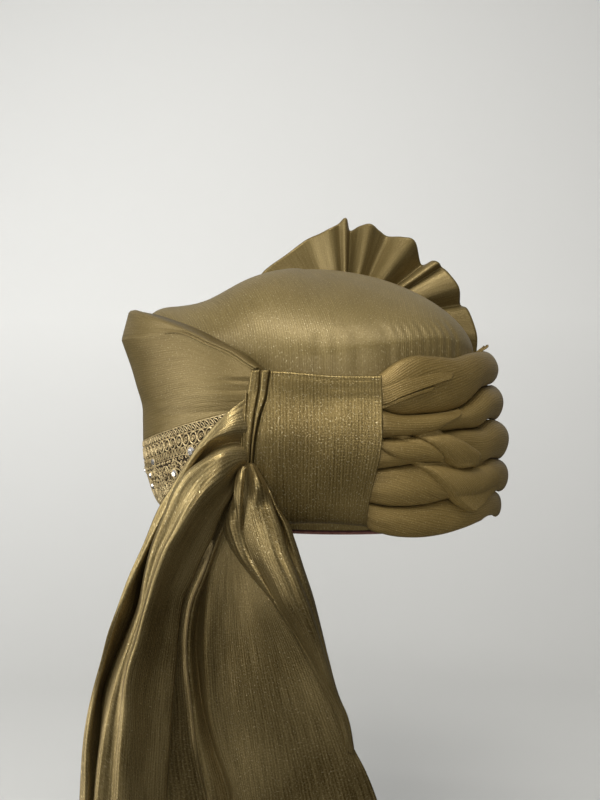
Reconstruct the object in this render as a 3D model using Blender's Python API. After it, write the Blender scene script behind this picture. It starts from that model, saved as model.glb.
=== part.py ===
"""A wound turban of gold cloth with a jewelled lace brow, a pleated fan and a hanging tail.

Lengths below are in millimetres and are made metres when a piece is added.
+Z is up, the brow faces -X, the wearer's left side faces -Y.
The origin is the centre of the head opening, on the plane of the rim.
Angles on the plan are in degrees from the back (+X), minus towards the wearer's left.
"""

import bmesh
import bpy
import numpy as np

# Head opening and cap
OPEN_X, OPEN_Y = 100.0, 80.0
BAND_THICK, BAND_TALL = 1.5, 30.0
CAP_WALL = 2.5
CAP_X, CAP_Y = 104.8, 84.8
CAP_LOW, CAP_LEAN = 3.0, 32.0
DOME_FRONT, DOME_BACK, DOME_SIDE = 130.0, 95.0, 86.0
FRONT_EDGE, BACK_EDGE, SIDE_EDGE = 138.0, 112.0, 95.0
APEX_X, APEX_Z = -25.0, 172.6
FRONT_ROUND, BACK_ROUND, SIDE_ROUND = 1.4, 1.85, 2.0
GAP = 0.35
PLAN_POWER = 2.2

# Gathers at the near edge of the dome: angle, width (degrees), depth (mm)
GATHERS = [(-96.5, 1.8, 2.0), (-91.5, 1.8, 1.6), (-84.5, 2.2, 1.8), (-73.0, 2.6, 1.6),
           (-58.0, 2.8, 1.8), (-40.0, 3.0, 1.6)]

# Brow cloth: height (0 rim, 1 crease), reach to the front, reach to the side
BROW = [(0.0, 117.5, 96.5), (0.065, 123.3, 98.6), (0.17, 128.3, 99.8), (0.256, 131.0, 100.4),
        (0.41, 133.0, 100.4), (0.53, 133.3, 100.4), (0.607, 133.8, 100.4),
        (0.73, 138.3, 100.4), (0.846, 141.3, 99.4), (1.0, 146.3, 98.4)]
# Heights round the brow: angle from the front, crease, top edge, top of the lace
BROW_EDGES = [(0, 121.5, 140.8, 52.0), (20, 120.5, 138.0, 54.5), (34, 119.3, 133.6, 59.5),
              (45, 119.0, 129.1, 64.5), (51, 116.5, 124.0, 67.2), (59, 108.0, 114.8, 71.0),
              (66, 94.0, 101.0, 74.5), (69, 82.0, 89.0, 76.0), (73, 78.0, 85.0, 77.0)]
BROW_END = 71.5
LACE_END = 66.0
LACE_THICK = 1.5
# Folds that run from the band into the brow: height at band, height at brow, depth, width, end
BROW_FOLDS = [(89.0, 104.0, 2.2, 3.0, 38), (82.0, 90.0, 2.2, 3.0, 44), (76.0, 71.0, 2.2, 3.4, 20)]

# Crystals on the lace: distance to the side, height, width
STONES = [(0, 30, 6.0), (20, 33, 4.2), (41, 31, 4.2), (39, 24, 4.6), (50, 40.5, 4.6),
          (68, 35, 5.2), (78, 49, 6.2)]

# Upright band: inset from its fullest face, height
BAND_PROFILE = [(10.5, 95.6), (8.0, 97.0), (4.5, 97.3), (1.6, 93.5), (0.4, 84.0), (0.0, 63.0),
                (0.4, 35.0), (1.2, 15.0), (3.0, 9.4), (6.2, 6.9), (10.5, 6.6), (14.0, 8.0)]
BAND_X0, BAND_X1, BAND_Y = -53.5, 22.0, 102.0
BAND_BEND = 0.0014
SHEET, PANEL = 2.0, 1.5
# Narrow pleats at the front edge of the near band: place along it, rise
BAND_PLEATS = [(0.0, 0.2), (1.6, 1.8), (3.4, 0.1), (5.2, 2.0), (7.4, 0.0), (9.6, 2.4), (12.6, 0.2)]

# Rolls: edges between them from bottom to top, along the way from band (0) to back (1)
ROLL_WAY = [0.0, 0.09, 0.17, 0.35, 0.6, 0.85, 1.0]
ROLL_EDGES = [[12.5, 12.5, 2.0, -3.5, -2.5, -1.0, 0.0],
              [22.5, 22.5, 18.0, 15.0, 14.0, 15.0, 16.3],
              [39.0, 39.0, 38.0, 36.5, 36.0, 38.0, 39.4],
              [57.0, 57.0, 58.0, 59.0, 61.0, 64.0, 66.4],
              [75.0, 75.0, 80.0, 85.5, 86.5, 88.5, 90.6],
              [89.5, 89.5, 99.5, 106.5, 108.0, 112.0, 114.8]]
ROLL_REACH = [115.5, 120.0, 120.0, 116.5, 113.0]
ROLL_SIDE = [97.0, 98.6, 99.0, 99.0, 98.6]
ROLL_END = 85.0
# Twists of a roll: where on the way, how long, how many half turns
ROLL_TWISTS = [[(-0.45, 0.25, 1.0), (0.35, 0.25, -1.0)],
               [(-0.55, 0.22, 1.0), (-0.12, 0.2, 1.0), (0.4, 0.25, -1.0)],
               [(-0.5, 0.2, 1.0), (-0.2, 0.2, 1.0), (0.3, 0.25, -1.0)],
               [(-0.42, 0.3, -1.0), (0.1, 0.25, 1.0), (0.5, 0.25, 1.0)],
               [(-0.6, 0.25, -1.0), (-0.1, 0.3, -1.0), (0.45, 0.25, 1.0)]]

# Fan: angle of a fold line up from the back, reach from the neck, side shift of that fold
FAN_NECK = (19.0, 92.5, 134.0)
FAN_FOLDS = [(166, 84, -5), (152, 93, 5), (140, 84, -5), (127, 90, 6), (113, 84, -5),
             (98, 94, 6), (92, 84, -6), (81, 91, 5), (69, 85, -6), (55, 92, 6), (42, 84, -5),
             (37, 93, 5), (27, 96, -5), (15, 98, 5), (5, 95, -5), (-7, 103, 5), (-17, 106, -5)]
FAN_THICK = 1.2

# Tail folds: root (x, y, z), shoulder (x, y, z), then x, y at four heights
TAIL_HEIGHTS = (20.0, -33.0, -79.0, -152.0)
TAIL_FOLDS = [
    ((-57, -98, 80), (-83, -96, 55), (-106, -91), (-128, -95), (-143, -99), (-150, -101)),
    ((-57.5, -99, 72), (-80, -101, 50), (-101, -97), (-123, -102), (-137, -107), (-142, -109)),
    ((-58, -98, 62), (-75, -97, 48), (-95, -92), (-117, -95), (-131, -100), (-134, -101)),
    ((-58.2, -99.5, 53), (-69, -108, 43), (-85, -110), (-109, -113), (-119, -117), (-121, -120)),
    ((-58.4, -98.5, 46), (-63, -104, 36), (-72, -104), (-92, -100), (-100, -98), (-105, -97)),
    ((-58.4, -98, 42), (-62, -102, 32), (-67, -102), (-87, -95), (-93, -89), (-94, -87)),
    ((-58.4, -98.8, 38), (-61, -103, 29), (-63, -104), (-82, -102), (-85, -104), (-81, -105)),
    ((-58.2, -98.6, 34), (-60, -102.5, 27), (-60, -102), (-78, -98), (-80, -97), (-71, -97)),
    ((-57, -100.4, 31), (-58, -104, 26), (-57, -105), (-75, -105), (-76, -107), (-62, -108)),
    ((-54, -101.7, 29), (-55, -104, 25), (-54, -104), (-53, -104), (-43, -108), (-25, -111)),
    ((-51, -102.6, 30), (-52, -106, 25), (-51, -106), (-37, -105), (-15, -106), (1, -108)),
    ((-49, -103.2, 32), (-48, -112, 27), (-46, -113), (-30, -115), (-10, -113), (9, -111)),
    ((-46, -102.6, 32), (-43, -109, 25), (-40, -110), (-23, -109), (-6, -107), (15, -105)),
    ((-43, -102, 31), (-37, -108, 24), (-33, -109), (-16, -107), (-3, -103), (22, -99)),
]
TAIL_THICK = 1.6

GOLD = ((0.262, 0.188, 0.076), 0.45, 0.35)
GOLD_DEEP = ((0.215, 0.155, 0.066), 0.5, 0.3)
LACE = ((0.46, 0.33, 0.15), 0.4, 0.6)
MAROON = ((0.045, 0.005, 0.006), 0.7, 0.0)
CRYSTAL = ((0.85, 0.86, 0.9), 0.05, 0.0)


def table(where, rows, column):
    """A column of a table of rows, read at the place its first column names."""
    rows = np.array(rows, float)
    return np.interp(where, rows[:, 0], rows[:, column])


def through(points, share, even=False):
    """The smooth curve through points, at shares 0 to 1 of its length, or of their count if even."""
    p = np.array(points, float)
    step = np.linalg.norm(np.diff(p, axis=0), axis=1)
    s = np.r_[0, np.cumsum(step * 0 + 1 if even else step)]
    slope = np.gradient(p, s, axis=0)
    at = np.asarray(share, float) * s[-1]
    i = np.clip(np.searchsorted(s, at) - 1, 0, len(s) - 2)
    h = s[i + 1] - s[i]
    t = ((at - s[i]) / h)[:, None]
    h = h[:, None]
    return ((2 * t**3 - 3 * t**2 + 1) * p[i] + (t**3 - 2 * t**2 + t) * h * slope[i]
            + (3 * t**2 - 2 * t**3) * p[i + 1] + (t**3 - t**2) * h * slope[i + 1])


def bell(x):
    """1 at x = 0, fading to 0 on both sides."""
    return np.exp(-x * x)


def ease(x):
    """0 below 0, 1 above 1, smooth between."""
    x = np.clip(x, 0, 1)
    return x * x * (3 - 2 * x)


def plan(angle, long, wide, power=2.0):
    """The point of a rounded outline at an angle from +X: long along X, wide along Y."""
    c, s = np.cos(np.radians(angle)), np.sin(np.radians(angle))
    e = 2.0 / power
    return long * np.sign(c) * np.abs(c) ** e, wide * np.sign(s) * np.abs(s) ** e


def stack(x, y, z):
    """Grids of x, y and z as one grid of points."""
    return np.stack(np.broadcast_arrays(x, y, z), axis=-1).astype(float)


def look_of(name, look):
    colour, rough, metal = look
    m = bpy.data.materials.new(name)
    m.use_nodes = True
    s = m.node_tree.nodes["Principled BSDF"].inputs
    s["Base Color"].default_value = (*colour, 1)
    s["Roughness"].default_value = rough
    s["Metallic"].default_value = metal
    return m


def add(name, points, faces, look):
    """One closed body in metres, its faces outward, with a material of its own."""
    mesh = bpy.data.meshes.new(name)
    mesh.from_pydata((np.asarray(points) / 1000).tolist(), [], faces)
    b = bmesh.new()
    b.from_mesh(mesh)
    bmesh.ops.recalc_face_normals(b, faces=b.faces)
    if b.calc_volume(signed=True) < 0:
        bmesh.ops.reverse_faces(b, faces=b.faces)
    bmesh.ops.triangulate(b, faces=b.faces)
    b.to_mesh(mesh)
    b.free()
    mesh.materials.append(look_of(name, look))
    bpy.context.scene.collection.objects.link(bpy.data.objects.new(name, mesh))


def grid_faces(rows, cols, around, start=0, flip=False):
    """Four-sided faces of a grid whose points start at a number."""
    faces = []
    for r in range(rows - 1):
        for c in range(cols if around else cols - 1):
            d = (c + 1) % cols
            f = [r * cols + c, r * cols + d, (r + 1) * cols + d, (r + 1) * cols + c]
            f = [start + k for k in f]
            faces.append(f[::-1] if flip else f)
    return faces


def shell(name, outer, inner, look, around=False, crown=False):
    """A wall between two grids. Around joins the last column to the first; crown closes row 0."""
    rows, cols = outer.shape[:2]
    n = rows * cols
    faces = grid_faces(rows, cols, around) + grid_faces(rows, cols, around, n, True)
    edges = [[(rows - 1) * cols + c for c in range(cols)]]
    if crown:
        faces += [list(range(cols)), [n + c for c in range(cols)][::-1]]
    else:
        edges.append(list(range(cols)))
    for e in edges:
        for k in range(cols if around else cols - 1):
            a, b = e[k], e[(k + 1) % cols]
            faces.append([a, b, n + b, n + a])
    if not around:
        for c in (0, cols - 1):
            for r in range(rows - 1):
                a, b = r * cols + c, (r + 1) * cols + c
                faces.append([a, b, n + b, n + a])
    add(name, np.concatenate([outer.reshape(-1, 3), inner.reshape(-1, 3)]), faces, look)


def outward(grid, around=False):
    """Unit normals of a grid, from the differences along its rows and columns."""
    down = np.gradient(grid, axis=0)
    if around:
        along = np.roll(grid, -1, 1) - np.roll(grid, 1, 1)
    else:
        along = np.gradient(grid, axis=1)
    n = np.cross(along, down)
    return n / np.maximum(np.linalg.norm(n, axis=-1, keepdims=True), 1e-9)


def cap_edge(angle):
    """Height where the dome of the cap turns upright, round the plan."""
    c = np.cos(np.radians(angle))
    front, back = np.clip(-c, 0, 1) ** 2, np.clip(c, 0, 1) ** 1.2
    return SIDE_EDGE + (FRONT_EDGE - SIDE_EDGE) * front + (BACK_EDGE - SIDE_EDGE) * back


def cap_reach(z):
    """Reach of the cap's wall to the front, back and side: upright below, leaning above."""
    def lean(edge):
        return np.clip(z - CAP_LEAN, 0, None) / (edge - CAP_LEAN)
    return (CAP_X + (DOME_FRONT - CAP_X) * lean(FRONT_EDGE),
            CAP_X + (DOME_BACK - CAP_X) * lean(BACK_EDGE),
            CAP_Y + (DOME_SIDE - CAP_Y) * lean(SIDE_EDGE))


def cap_wall(angle, z, extra=0.0):
    """Outside of the cap's wall at an angle and a height, moved out by an extra."""
    front, back, wide = cap_reach(z)
    c = np.cos(np.radians(angle))
    return plan(angle, np.where(c < 0, front, back) + extra, wide + extra)


def gathers(angle):
    """Depth of the gathers at the dome's near edge."""
    return sum(d * bell((angle - a) / w) for a, w, d in GATHERS)


def make_crown():
    near = np.linspace(-128, -30, 26)
    rest = np.linspace(-30, 232, 23)[1:-1]
    angle = np.r_[near, rest]
    c = np.cos(np.radians(angle))
    power = np.where(c < 0, SIDE_ROUND + (FRONT_ROUND - SIDE_ROUND) * c * c,
                     SIDE_ROUND + (BACK_ROUND - SIDE_ROUND) * c * c)
    edge = cap_edge(angle)
    rim_x, rim_y = cap_wall(angle, edge)
    rows = []
    for turn in np.radians([8, 30, 50, 66, 79, 90]):
        out = np.sin(turn) ** (2 / power)
        up = np.cos(turn) ** (2 / power) if turn < 1.57 else 0 * power
        sink = gathers(angle) * ease((out - 0.72) / 0.2)
        z = edge + (APEX_Z - edge) * up - 0.5 * sink
        x, y = APEX_X + (rim_x - APEX_X) * out, rim_y * out
        rows.append(stack(x, y + sink * (y < 0), z))
    for z in (CAP_LEAN, CAP_LOW):
        x, y = cap_wall(angle, z)
        rows.append(stack(x, y, z))
    outer = np.array(rows)
    inner = outer - np.sign((outer * outward(outer, True)).sum(-1).mean()) * (
        CAP_WALL * outward(outer, True))
    inner[-1, :, 2] = CAP_LOW
    shell("crown", outer, inner, GOLD, around=True, crown=True)


def make_sweatband():
    angle = np.linspace(0, 360, 37)[:-1]
    z = np.array([0.0, 1.0, BAND_TALL])
    out = np.array([-0.6, 0.0, 0.0])
    rows_out, rows_in = [], []
    for h, o in zip(z, out):
        x, y = plan(angle, OPEN_X + BAND_THICK + o, OPEN_Y + BAND_THICK + o)
        rows_out.append(stack(x, y, h))
        x, y = plan(angle, OPEN_X, OPEN_Y)
        rows_in.append(stack(x, y, h))
    shell("sweatband", np.array(rows_out), np.array(rows_in), MAROON, around=True)


def brow_height(turn, z):
    """Height as a share, 0 at the rim and 1 at the crease, of a turn from the front."""
    low = brow_low(turn)
    return (z - low) / (table(abs(turn), BROW_EDGES, 1) - low)


def brow_low(turn):
    """Height of the lower edge of the brow cloth."""
    return 4.0 + 8.5 * ease(abs(turn) / BROW_END)


def brow_point(turn, share, out):
    """A point of the brow cloth: turn from the front, share of height, moved out by out."""
    x, y = plan(180 + turn, table(share, BROW, 1) + out, table(share, BROW, 2) + out, PLAN_POWER)
    low = brow_low(turn)
    return stack(x, y, low + share * (table(abs(turn), BROW_EDGES, 1) - low))


def to_cap(x, y, z, extra):
    """The points moved level with themselves to the cap's wall, but for an extra."""
    front, _, wide = cap_reach(z)
    size = np.sqrt((x / (front + extra)) ** 2 + (y / (wide + extra)) ** 2)
    return stack(x / size, y / size, z)


def make_front_panel():
    turn = np.linspace(-BROW_END, BROW_END, 27)
    crease, top, lace = (table(abs(turn), BROW_EDGES, k) for k in (1, 2, 3))
    low, size = brow_low(turn), abs(turn) / BROW_END
    under = -LACE_THICK - 0.4
    rows = []
    x, y = plan(180 + turn, 112.0 + 0 * turn, 91.0, PLAN_POWER)
    rows.append(to_cap(x, y, low + 2.6, 1.9))
    rows.append(stack(x, y, low + 0.2))
    at_lace = brow_height(turn, lace)
    for k in (0.03, 0.14, 0.32, 0.6, 1.0):
        rows.append(brow_point(turn, k * at_lace, under))
    for k in (0.13, 0.36, 0.6, 0.8, 1.0):
        share = at_lace + (1 - at_lace) * k
        dent = 0 * turn
        for at_band, at_brow, depth, width, end in BROW_FOLDS:
            line = at_brow + (at_band - at_brow) * size**1.5
            z = low + share * (crease - low)
            fade = ease((abs(turn) - end) / 18)
            dent = dent + depth * fade * bell((z - line) / width)
        rows.append(brow_point(turn, share, -dent))
    for k, back in ((0.45, 2.4), (0.95, 4.3)):
        x, y = plan(180 + turn, 146.3 - back, 98.4 - 0.4 * k, PLAN_POWER)
        rows.append(stack(x, y, crease + k * (top - crease)))
    x, y = plan(180 + turn, 138.0 + 0 * turn, 95.5, PLAN_POWER)
    rows.append(stack(x, y, top - 0.2))
    rows.append(to_cap(x, y, top - 1.6, 1.9))
    outer = np.array(rows)
    shell("front_panel", outer, outer - PANEL * facing(outer), GOLD)


def facing(grid):
    """Normals of an open grid, turned so that they point away from the head."""
    n = outward(grid)
    middle = grid - np.array([0, 0, 60.0])
    return n if (n * middle).sum() > 0 else -n


def make_brow_lace():
    turn = np.linspace(-LACE_END, LACE_END, 25)
    at_lace = brow_height(turn, table(abs(turn), BROW_EDGES, 3))
    shares = [at_lace * k for k in (0.03, 0.14, 0.32, 0.6, 0.985)]
    outer = np.array([brow_point(turn, s, 0.0) for s in shares])
    inner = np.array([brow_point(turn, s, -LACE_THICK) for s in shares])
    shell("brow_lace", outer, inner, LACE)


def make_stone(name, side, z, width):
    """A round cut stone: flat back, upright girdle, eight facets and a table."""
    turn = np.linspace(-80, 80, 1601)
    line = brow_point(turn, brow_height(turn, z), 0.0)
    above = brow_point(turn, brow_height(turn, z + 1), 0.0)
    k = int(np.argmin(abs(line[:, 1] - side)))
    centre = line[k]
    along = line[k + 8] - line[k - 8]
    along = along / np.linalg.norm(along)
    up = above[k] - line[k]
    out = np.cross(along, up)
    out = out / np.linalg.norm(out) * (1 if out @ centre > 0 else -1)
    up = np.cross(out, along)
    rings = [(0.35, 0.5), (0.75, 0.5), (1.75, 0.29)]
    turns = np.radians(np.arange(8) * 45 + 22.5)
    points = [centre + out * h + width * r * (along * np.cos(t) + up * np.sin(t))
              for h, r in rings for t in turns]
    faces = grid_faces(3, 8, True) + [list(range(8)), list(range(16, 24))]
    add(name, points, faces, CRYSTAL)


def band_face(x, side):
    """Fullest face of an upright band at x, on the side -1 or 1."""
    return side * (BAND_Y - BAND_BEND * x * x)


def make_band(name, side, pleats, lip):
    """An upright band wrapped in at its top and bottom. Lip is the share of its top that goes in."""
    wide = BAND_X1 - BAND_X0
    if pleats:
        along = np.r_[[p[0] for p in pleats], np.linspace(14.5, wide, 9)]
        rise = np.r_[[p[1] for p in pleats], np.zeros(9)]
    else:
        along, rise = np.linspace(0, wide, 10), np.zeros(10)
    profile = np.array(BAND_PROFILE)
    profile[:3, 0] = 1.6 + (profile[:3, 0] - 1.6) * lip
    rows = []
    for inset, z in profile:
        slant = -4.0 * ease((97 - z) / 35) * bell(along / 14)
        slant = slant - 8.5 * ease((60 - z) / 50) * (along / wide) ** 4
        x = BAND_X0 + along + slant
        drop = 1.6 * np.sin(np.pi * along / wide) * (z > 90) - 2.0 * (z < 10) * np.sin(
            np.pi * along / wide)
        face = band_face(BAND_X0 + along, side)
        rows.append(stack(x, face - side * inset + side * rise * min(1, 6 / (inset + 4)),
                          z - drop))
    outer = np.array(rows)
    n = outward(outer)
    n = n if (n[..., 1] * side).sum() > 0 else -n
    shell(name, outer, outer - SHEET * n, GOLD)


def lobes(around, turn):
    """Two joined round strands seen end on, their line at a turn, filling -1 to 1 both ways."""
    far = 0.62
    a = around - turn
    r = far * np.abs(np.cos(a)) + np.sqrt(1 - (far * np.sin(a)) ** 2)
    x, y = r * np.cos(around), r * np.sin(around)
    return x / np.abs(x).max(), y / np.abs(y).max()


def make_roll(number):
    """A twisted roll round the back: sections that fill the room between its edges."""
    k = number - 1
    angle = np.linspace(-ROLL_END, ROLL_END, 25)
    way = 1 - abs(angle) / ROLL_END
    low = np.interp(way, ROLL_WAY, ROLL_EDGES[k]) + 0.5 * GAP
    high = np.interp(way, ROLL_WAY, ROLL_EDGES[k + 1]) - 0.5 * GAP
    around = np.linspace(0, 2 * np.pi, 13)[:-1]
    rows = []
    for i, a in enumerate(angle):
        turn = 0.35 * np.pi + sum(
            h * np.pi * ease((a / ROLL_END - at) / long + 0.5)
            for at, long, h in ROLL_TWISTS[k])
        p, q = lobes(around, turn)
        z = 0.5 * (low[i] + high[i]) + 0.5 * (high[i] - low[i]) * q
        in_x, in_y = cap_wall(a, z, GAP)
        out_x, out_y = plan(a, ROLL_REACH[k], ROLL_SIDE[k], PLAN_POWER)
        f = 0.5 * (p + 1)
        rows.append(stack(in_x + (out_x - in_x) * f, in_y + (out_y - in_y) * f, z))
    rings = np.array(rows)
    n, m = rings.shape[:2]
    faces = grid_faces(n, m, True) + [list(range(m)), [(n - 1) * m + c for c in range(m)]]
    add(f"back_roll_{number}", rings.reshape(-1, 3), faces, GOLD)


def sheet_between(lines, rows, cols):
    """A grid smooth along each fold line and smooth across them."""
    down = np.array([through(line, np.linspace(0, 1, rows)) for line in lines])
    return np.array([through(down[:, r], np.linspace(0, 1, cols), True) for r in range(rows)])


def make_fan():
    cx, cy, cz = FAN_NECK
    n = len(FAN_FOLDS)
    lines = []
    for i, (angle, reach, shift) in enumerate(FAN_FOLDS):
        k = i / (n - 1) - 0.5
        a = np.radians(angle)
        tip = np.array([cx + reach * np.cos(a), cy + 0.8 * shift + 0.05 * reach * np.sin(a),
                        cz + reach * np.sin(a)])
        neck = np.array([cx + 34 * k, cy + 0.16 * shift, cz + 16 * np.cos(1.5 * k)])
        root = np.array([-13 + 28 * k, 88.0 + 0.16 * shift, 84.0])
        mid = np.array([-3 + 30 * k, 88.6 + 0.16 * shift, 108.0])
        lines.append([root, mid, neck, neck * 0.62 + tip * 0.38 + [0, 0.1 * shift, 0], tip])
    outer = sheet_between(lines, 9, n)
    n = outward(outer)
    shell("fan", outer + 0.5 * FAN_THICK * n, outer - 0.5 * FAN_THICK * n, GOLD)


def make_tail():
    lines = []
    for root, shoulder, *low in TAIL_FOLDS:
        lines.append([root, shoulder] + [(x, y, z) for (x, y), z in zip(low, TAIL_HEIGHTS)])
    middle = sheet_between(lines, 12, 2 * len(lines) - 1)
    n = outward(middle)
    shell("tail", middle + 0.5 * TAIL_THICK * n, middle - 0.5 * TAIL_THICK * n, GOLD_DEEP)


def make_tuck_end():
    """A short curled cloth end between the dome and the top roll."""
    across = np.linspace(-7, 7, 6)
    rows = []
    for out, z in ((94.6, 115.8), (93.0, 119.5), (95.2, 122.4), (99.9, 121.6)):
        rows.append(stack(out - 0.02 * across**2, across - 22, z + 0.4 * np.sin(across)))
    outer = np.array(rows)
    n = outward(outer)
    n = n if n[..., 2].sum() > 0 else -n
    shell("tuck_end", outer, outer - 1.2 * n, GOLD)


def build():
    for o in list(bpy.data.objects):
        bpy.data.objects.remove(o, do_unlink=True)
    make_crown()
    make_sweatband()
    make_front_panel()
    make_brow_lace()
    places = [(s * side, z, w) for side, z, w in STONES for s in ((-1, 1) if side else (1,))]
    for i, (side, z, width) in enumerate(places):
        make_stone(f"brow_stone_{i + 1:02d}", side, z, width)
    make_band("side_band", -1, BAND_PLEATS, 1.0)
    make_band("far_band", 1, None, 0.6)
    for number in range(1, 6):
        make_roll(number)
    make_fan()
    make_tail()
    make_tuck_end()


build()
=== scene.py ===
"""The dressed turban: ribbed gold cloth wound round an open head, with a jewelled lace brow.

Every cloth piece is a grid of points worked out from a formula, in millimetres, and becomes metres
when its mesh is made. +Z is up, the brow faces -X, the wearer's left side faces -Y.
Angles on the plan are in degrees from the back (+X), minus towards the wearer's left.
"""

import bpy
import numpy as np
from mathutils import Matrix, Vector


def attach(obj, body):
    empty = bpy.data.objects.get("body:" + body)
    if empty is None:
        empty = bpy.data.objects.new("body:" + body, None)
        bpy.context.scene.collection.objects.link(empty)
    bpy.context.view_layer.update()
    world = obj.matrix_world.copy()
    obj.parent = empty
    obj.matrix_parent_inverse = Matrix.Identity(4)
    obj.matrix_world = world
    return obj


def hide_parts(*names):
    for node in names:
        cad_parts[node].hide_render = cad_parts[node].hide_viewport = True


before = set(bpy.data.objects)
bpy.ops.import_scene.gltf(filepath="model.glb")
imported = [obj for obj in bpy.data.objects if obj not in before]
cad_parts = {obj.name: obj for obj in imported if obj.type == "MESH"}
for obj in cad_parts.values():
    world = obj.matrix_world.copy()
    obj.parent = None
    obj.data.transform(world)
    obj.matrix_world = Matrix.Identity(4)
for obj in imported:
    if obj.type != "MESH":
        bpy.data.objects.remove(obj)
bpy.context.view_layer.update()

# Head opening and cap: half lengths along X and Y, heights, reaches of the dome and of its upright
# part's top to the front, back and side, and how sharp its shoulder is on each
OPEN_X, OPEN_Y = 100.0, 80.0
BAND_THICK, BAND_TALL = 1.5, 30.0
CAP_X, CAP_Y = 104.8, 84.8
CAP_LOW, CAP_LEAN = 3.0, 32.0
DOME_FRONT, DOME_BACK, DOME_SIDE = 130.0, 95.0, 86.0
FRONT_EDGE, BACK_EDGE, SIDE_EDGE = 138.0, 112.0, 95.0
APEX_X, APEX_Z = -25.0, 172.6
FRONT_ROUND, BACK_ROUND, SIDE_ROUND = 1.4, 1.85, 2.0
PLAN_POWER = 2.2
# Near side of the dome: angle where it starts and how long it takes, the same for its end, how much
# higher the wall stands there and how sharp the shoulder is
NEAR_FROM, NEAR_GROWS, NEAR_TO, NEAR_FADES, NEAR_LIFT, NEAR_ROUND = -132, 52, -12, 44, 14.0, 1.45
# Dip of the dome behind the brow: x, width, depth. Slant of the crown's ribs in front
DIP_X, DIP_WIDE, DIP_DEEP, RIB_SLANT = -93.0, 26.0, 8.5, 0.42
# Piping at the foot of the sweatband: distance out, height, thickness from its middle
PIPING_OUT, PIPING_LOW, PIPING_ROUND = 2.2, 1.0, 0.9
# A place inside the cap, which the right side of every sheet looks away from
INSIDE = (0.0, 0.0, 60.0)
# Thickness of each cloth: crown, upright bands, brow, tail and fan, strips, tucked end, lace net
CROWN_CLOTH, BAND_CLOTH, BROW_CLOTH, HUNG_CLOTH, STRIP_CLOTH, TUCK_CLOTH, NET_CLOTH = (
    2.2, 1.6, 1.4, 1.1, 0.9, 0.8, 0.6)

# Gathers at the near edge of the dome: angle, width (degrees), depth (mm)
GATHERS = [(-96.5, 1.8, 1.2), (-91.5, 1.8, 0.9), (-84.5, 2.2, 0.9), (-73.0, 2.0, 0.7),
           (-68.5, 0.9, 0.6), (-65.2, 0.9, 0.7), (-61.8, 1.0, 0.5), (-58.0, 1.2, 0.9),
           (-54.6, 0.9, 0.7), (-51.0, 1.0, 0.9), (-46.5, 1.2, 0.8), (-40.0, 2.0, 1.2)]

# Brow cloth: height (0 rim, 1 crease), reach to the front, reach to the side
BROW = [(0.0, 117.5, 96.5), (0.065, 123.3, 98.6), (0.17, 128.3, 99.8), (0.256, 131.0, 100.4),
        (0.41, 133.0, 100.4), (0.53, 133.3, 100.4), (0.607, 133.8, 100.4),
        (0.73, 138.0, 100.4), (0.846, 141.6, 99.4), (1.0, 147.6, 98.4)]
# Heights round the brow: angle from the front, crease, top edge, top of the lace
BROW_EDGES = [(0, 120.6, 140.8, 52.0), (20, 120.2, 138.4, 54.5), (34, 119.8, 132.8, 59.5),
              (45, 120.4, 126.6, 64.5), (51, 120.0, 122.2, 67.2), (59, 112.8, 114.4, 71.0),
              (66, 105.6, 107.2, 74.5), (69, 100.8, 102.4, 76.0), (73, 94.9, 96.5, 77.0)]
BROW_END, LACE_END = 71.5, 66.0
# Folds from the band into the brow: height at band, height at brow, depth, width, turn where it ends
BROW_FOLDS = [(91.5, 95.0, 2.5, 1.1, 54), (86.5, 88.0, 1.6, 1.7, 50), (80.5, 78.0, 1.1, 2.0, 38),
              (76.5, 70.0, 2.0, 2.4, 18)]
# Reach to the front and side of the brow's lower lip and of its crease, how far the hem's top stands
# back from the crease, and reach and height above that top of the two rows behind it
LIP_REACH, CREASE_REACH, HEM_TURNED_IN = (112.0, 91.0), (147.6, 98.4), (5.2, 0.4)
HEM_BACK = [(139.6, 96.4, 0.5), (138.0, 95.5, -0.2)]

# Lace: depth below its top edge of the four plain threads; the braids' depth, half height, pitch,
# thread and lean; the rings' depth, half height and pitch; the scrolls and the small loops
LACE_PLAIN = (0.4, 5.2, 13.4, 17.8)
BRAIDS = [(2.8, 1.75, 3.3, 0.36, 0.42), (15.6, 1.6, 3.0, 0.36, -0.32)]
RINGS = (9.3, 3.5, 6.0)
SCROLL_TOP, LOOP_TOP, LOOP_FOOT, LOOP_STEP = 18.6, 19.4, 46.0, 2.9
SCROLL_PITCH = 26.0

# Upright band: inset from its fullest face, height
BAND_PROFILE = [(26.0, 93.0), (12.0, 95.4), (7.6, 96.6), (6.2, 97.0), (5.2, 97.0), (4.5, 96.7),
                (4.2, 96.0), (3.6, 92.5), (1.85, 84.0), (0.44, 72.0), (0.0, 60.6), (0.38, 50.0),
                (1.2, 40.0), (2.7, 25.0), (4.0, 14.0), (5.6, 8.6), (8.6, 6.7), (14.0, 7.4), (26.0, 9.5)]
# Ends of the band along X, its fullest face, and how much that bows
BAND_X0, BAND_X1, BAND_Y, BAND_BEND = -53.5, 22.0, 102.0, 0.0014
# How far the back edge runs in at the foot and the top lip's front end comes forward, and how far the
# top sinks and the foot hangs
BAND_FOOT_IN, BAND_LIP_OUT, BAND_TOP_SINK, BAND_FOOT_HANG = 8.5, 7.0, 2.9, 2.0
# Edge of the near band's upper layer: height, x
BAND_STEP = [(8.0, -56.0), (43.0, -52.0), (59.0, -50.2), (71.4, -47.6), (81.7, -44.2), (88.0, -43.4),
             (96.0, -42.2)]
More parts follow.
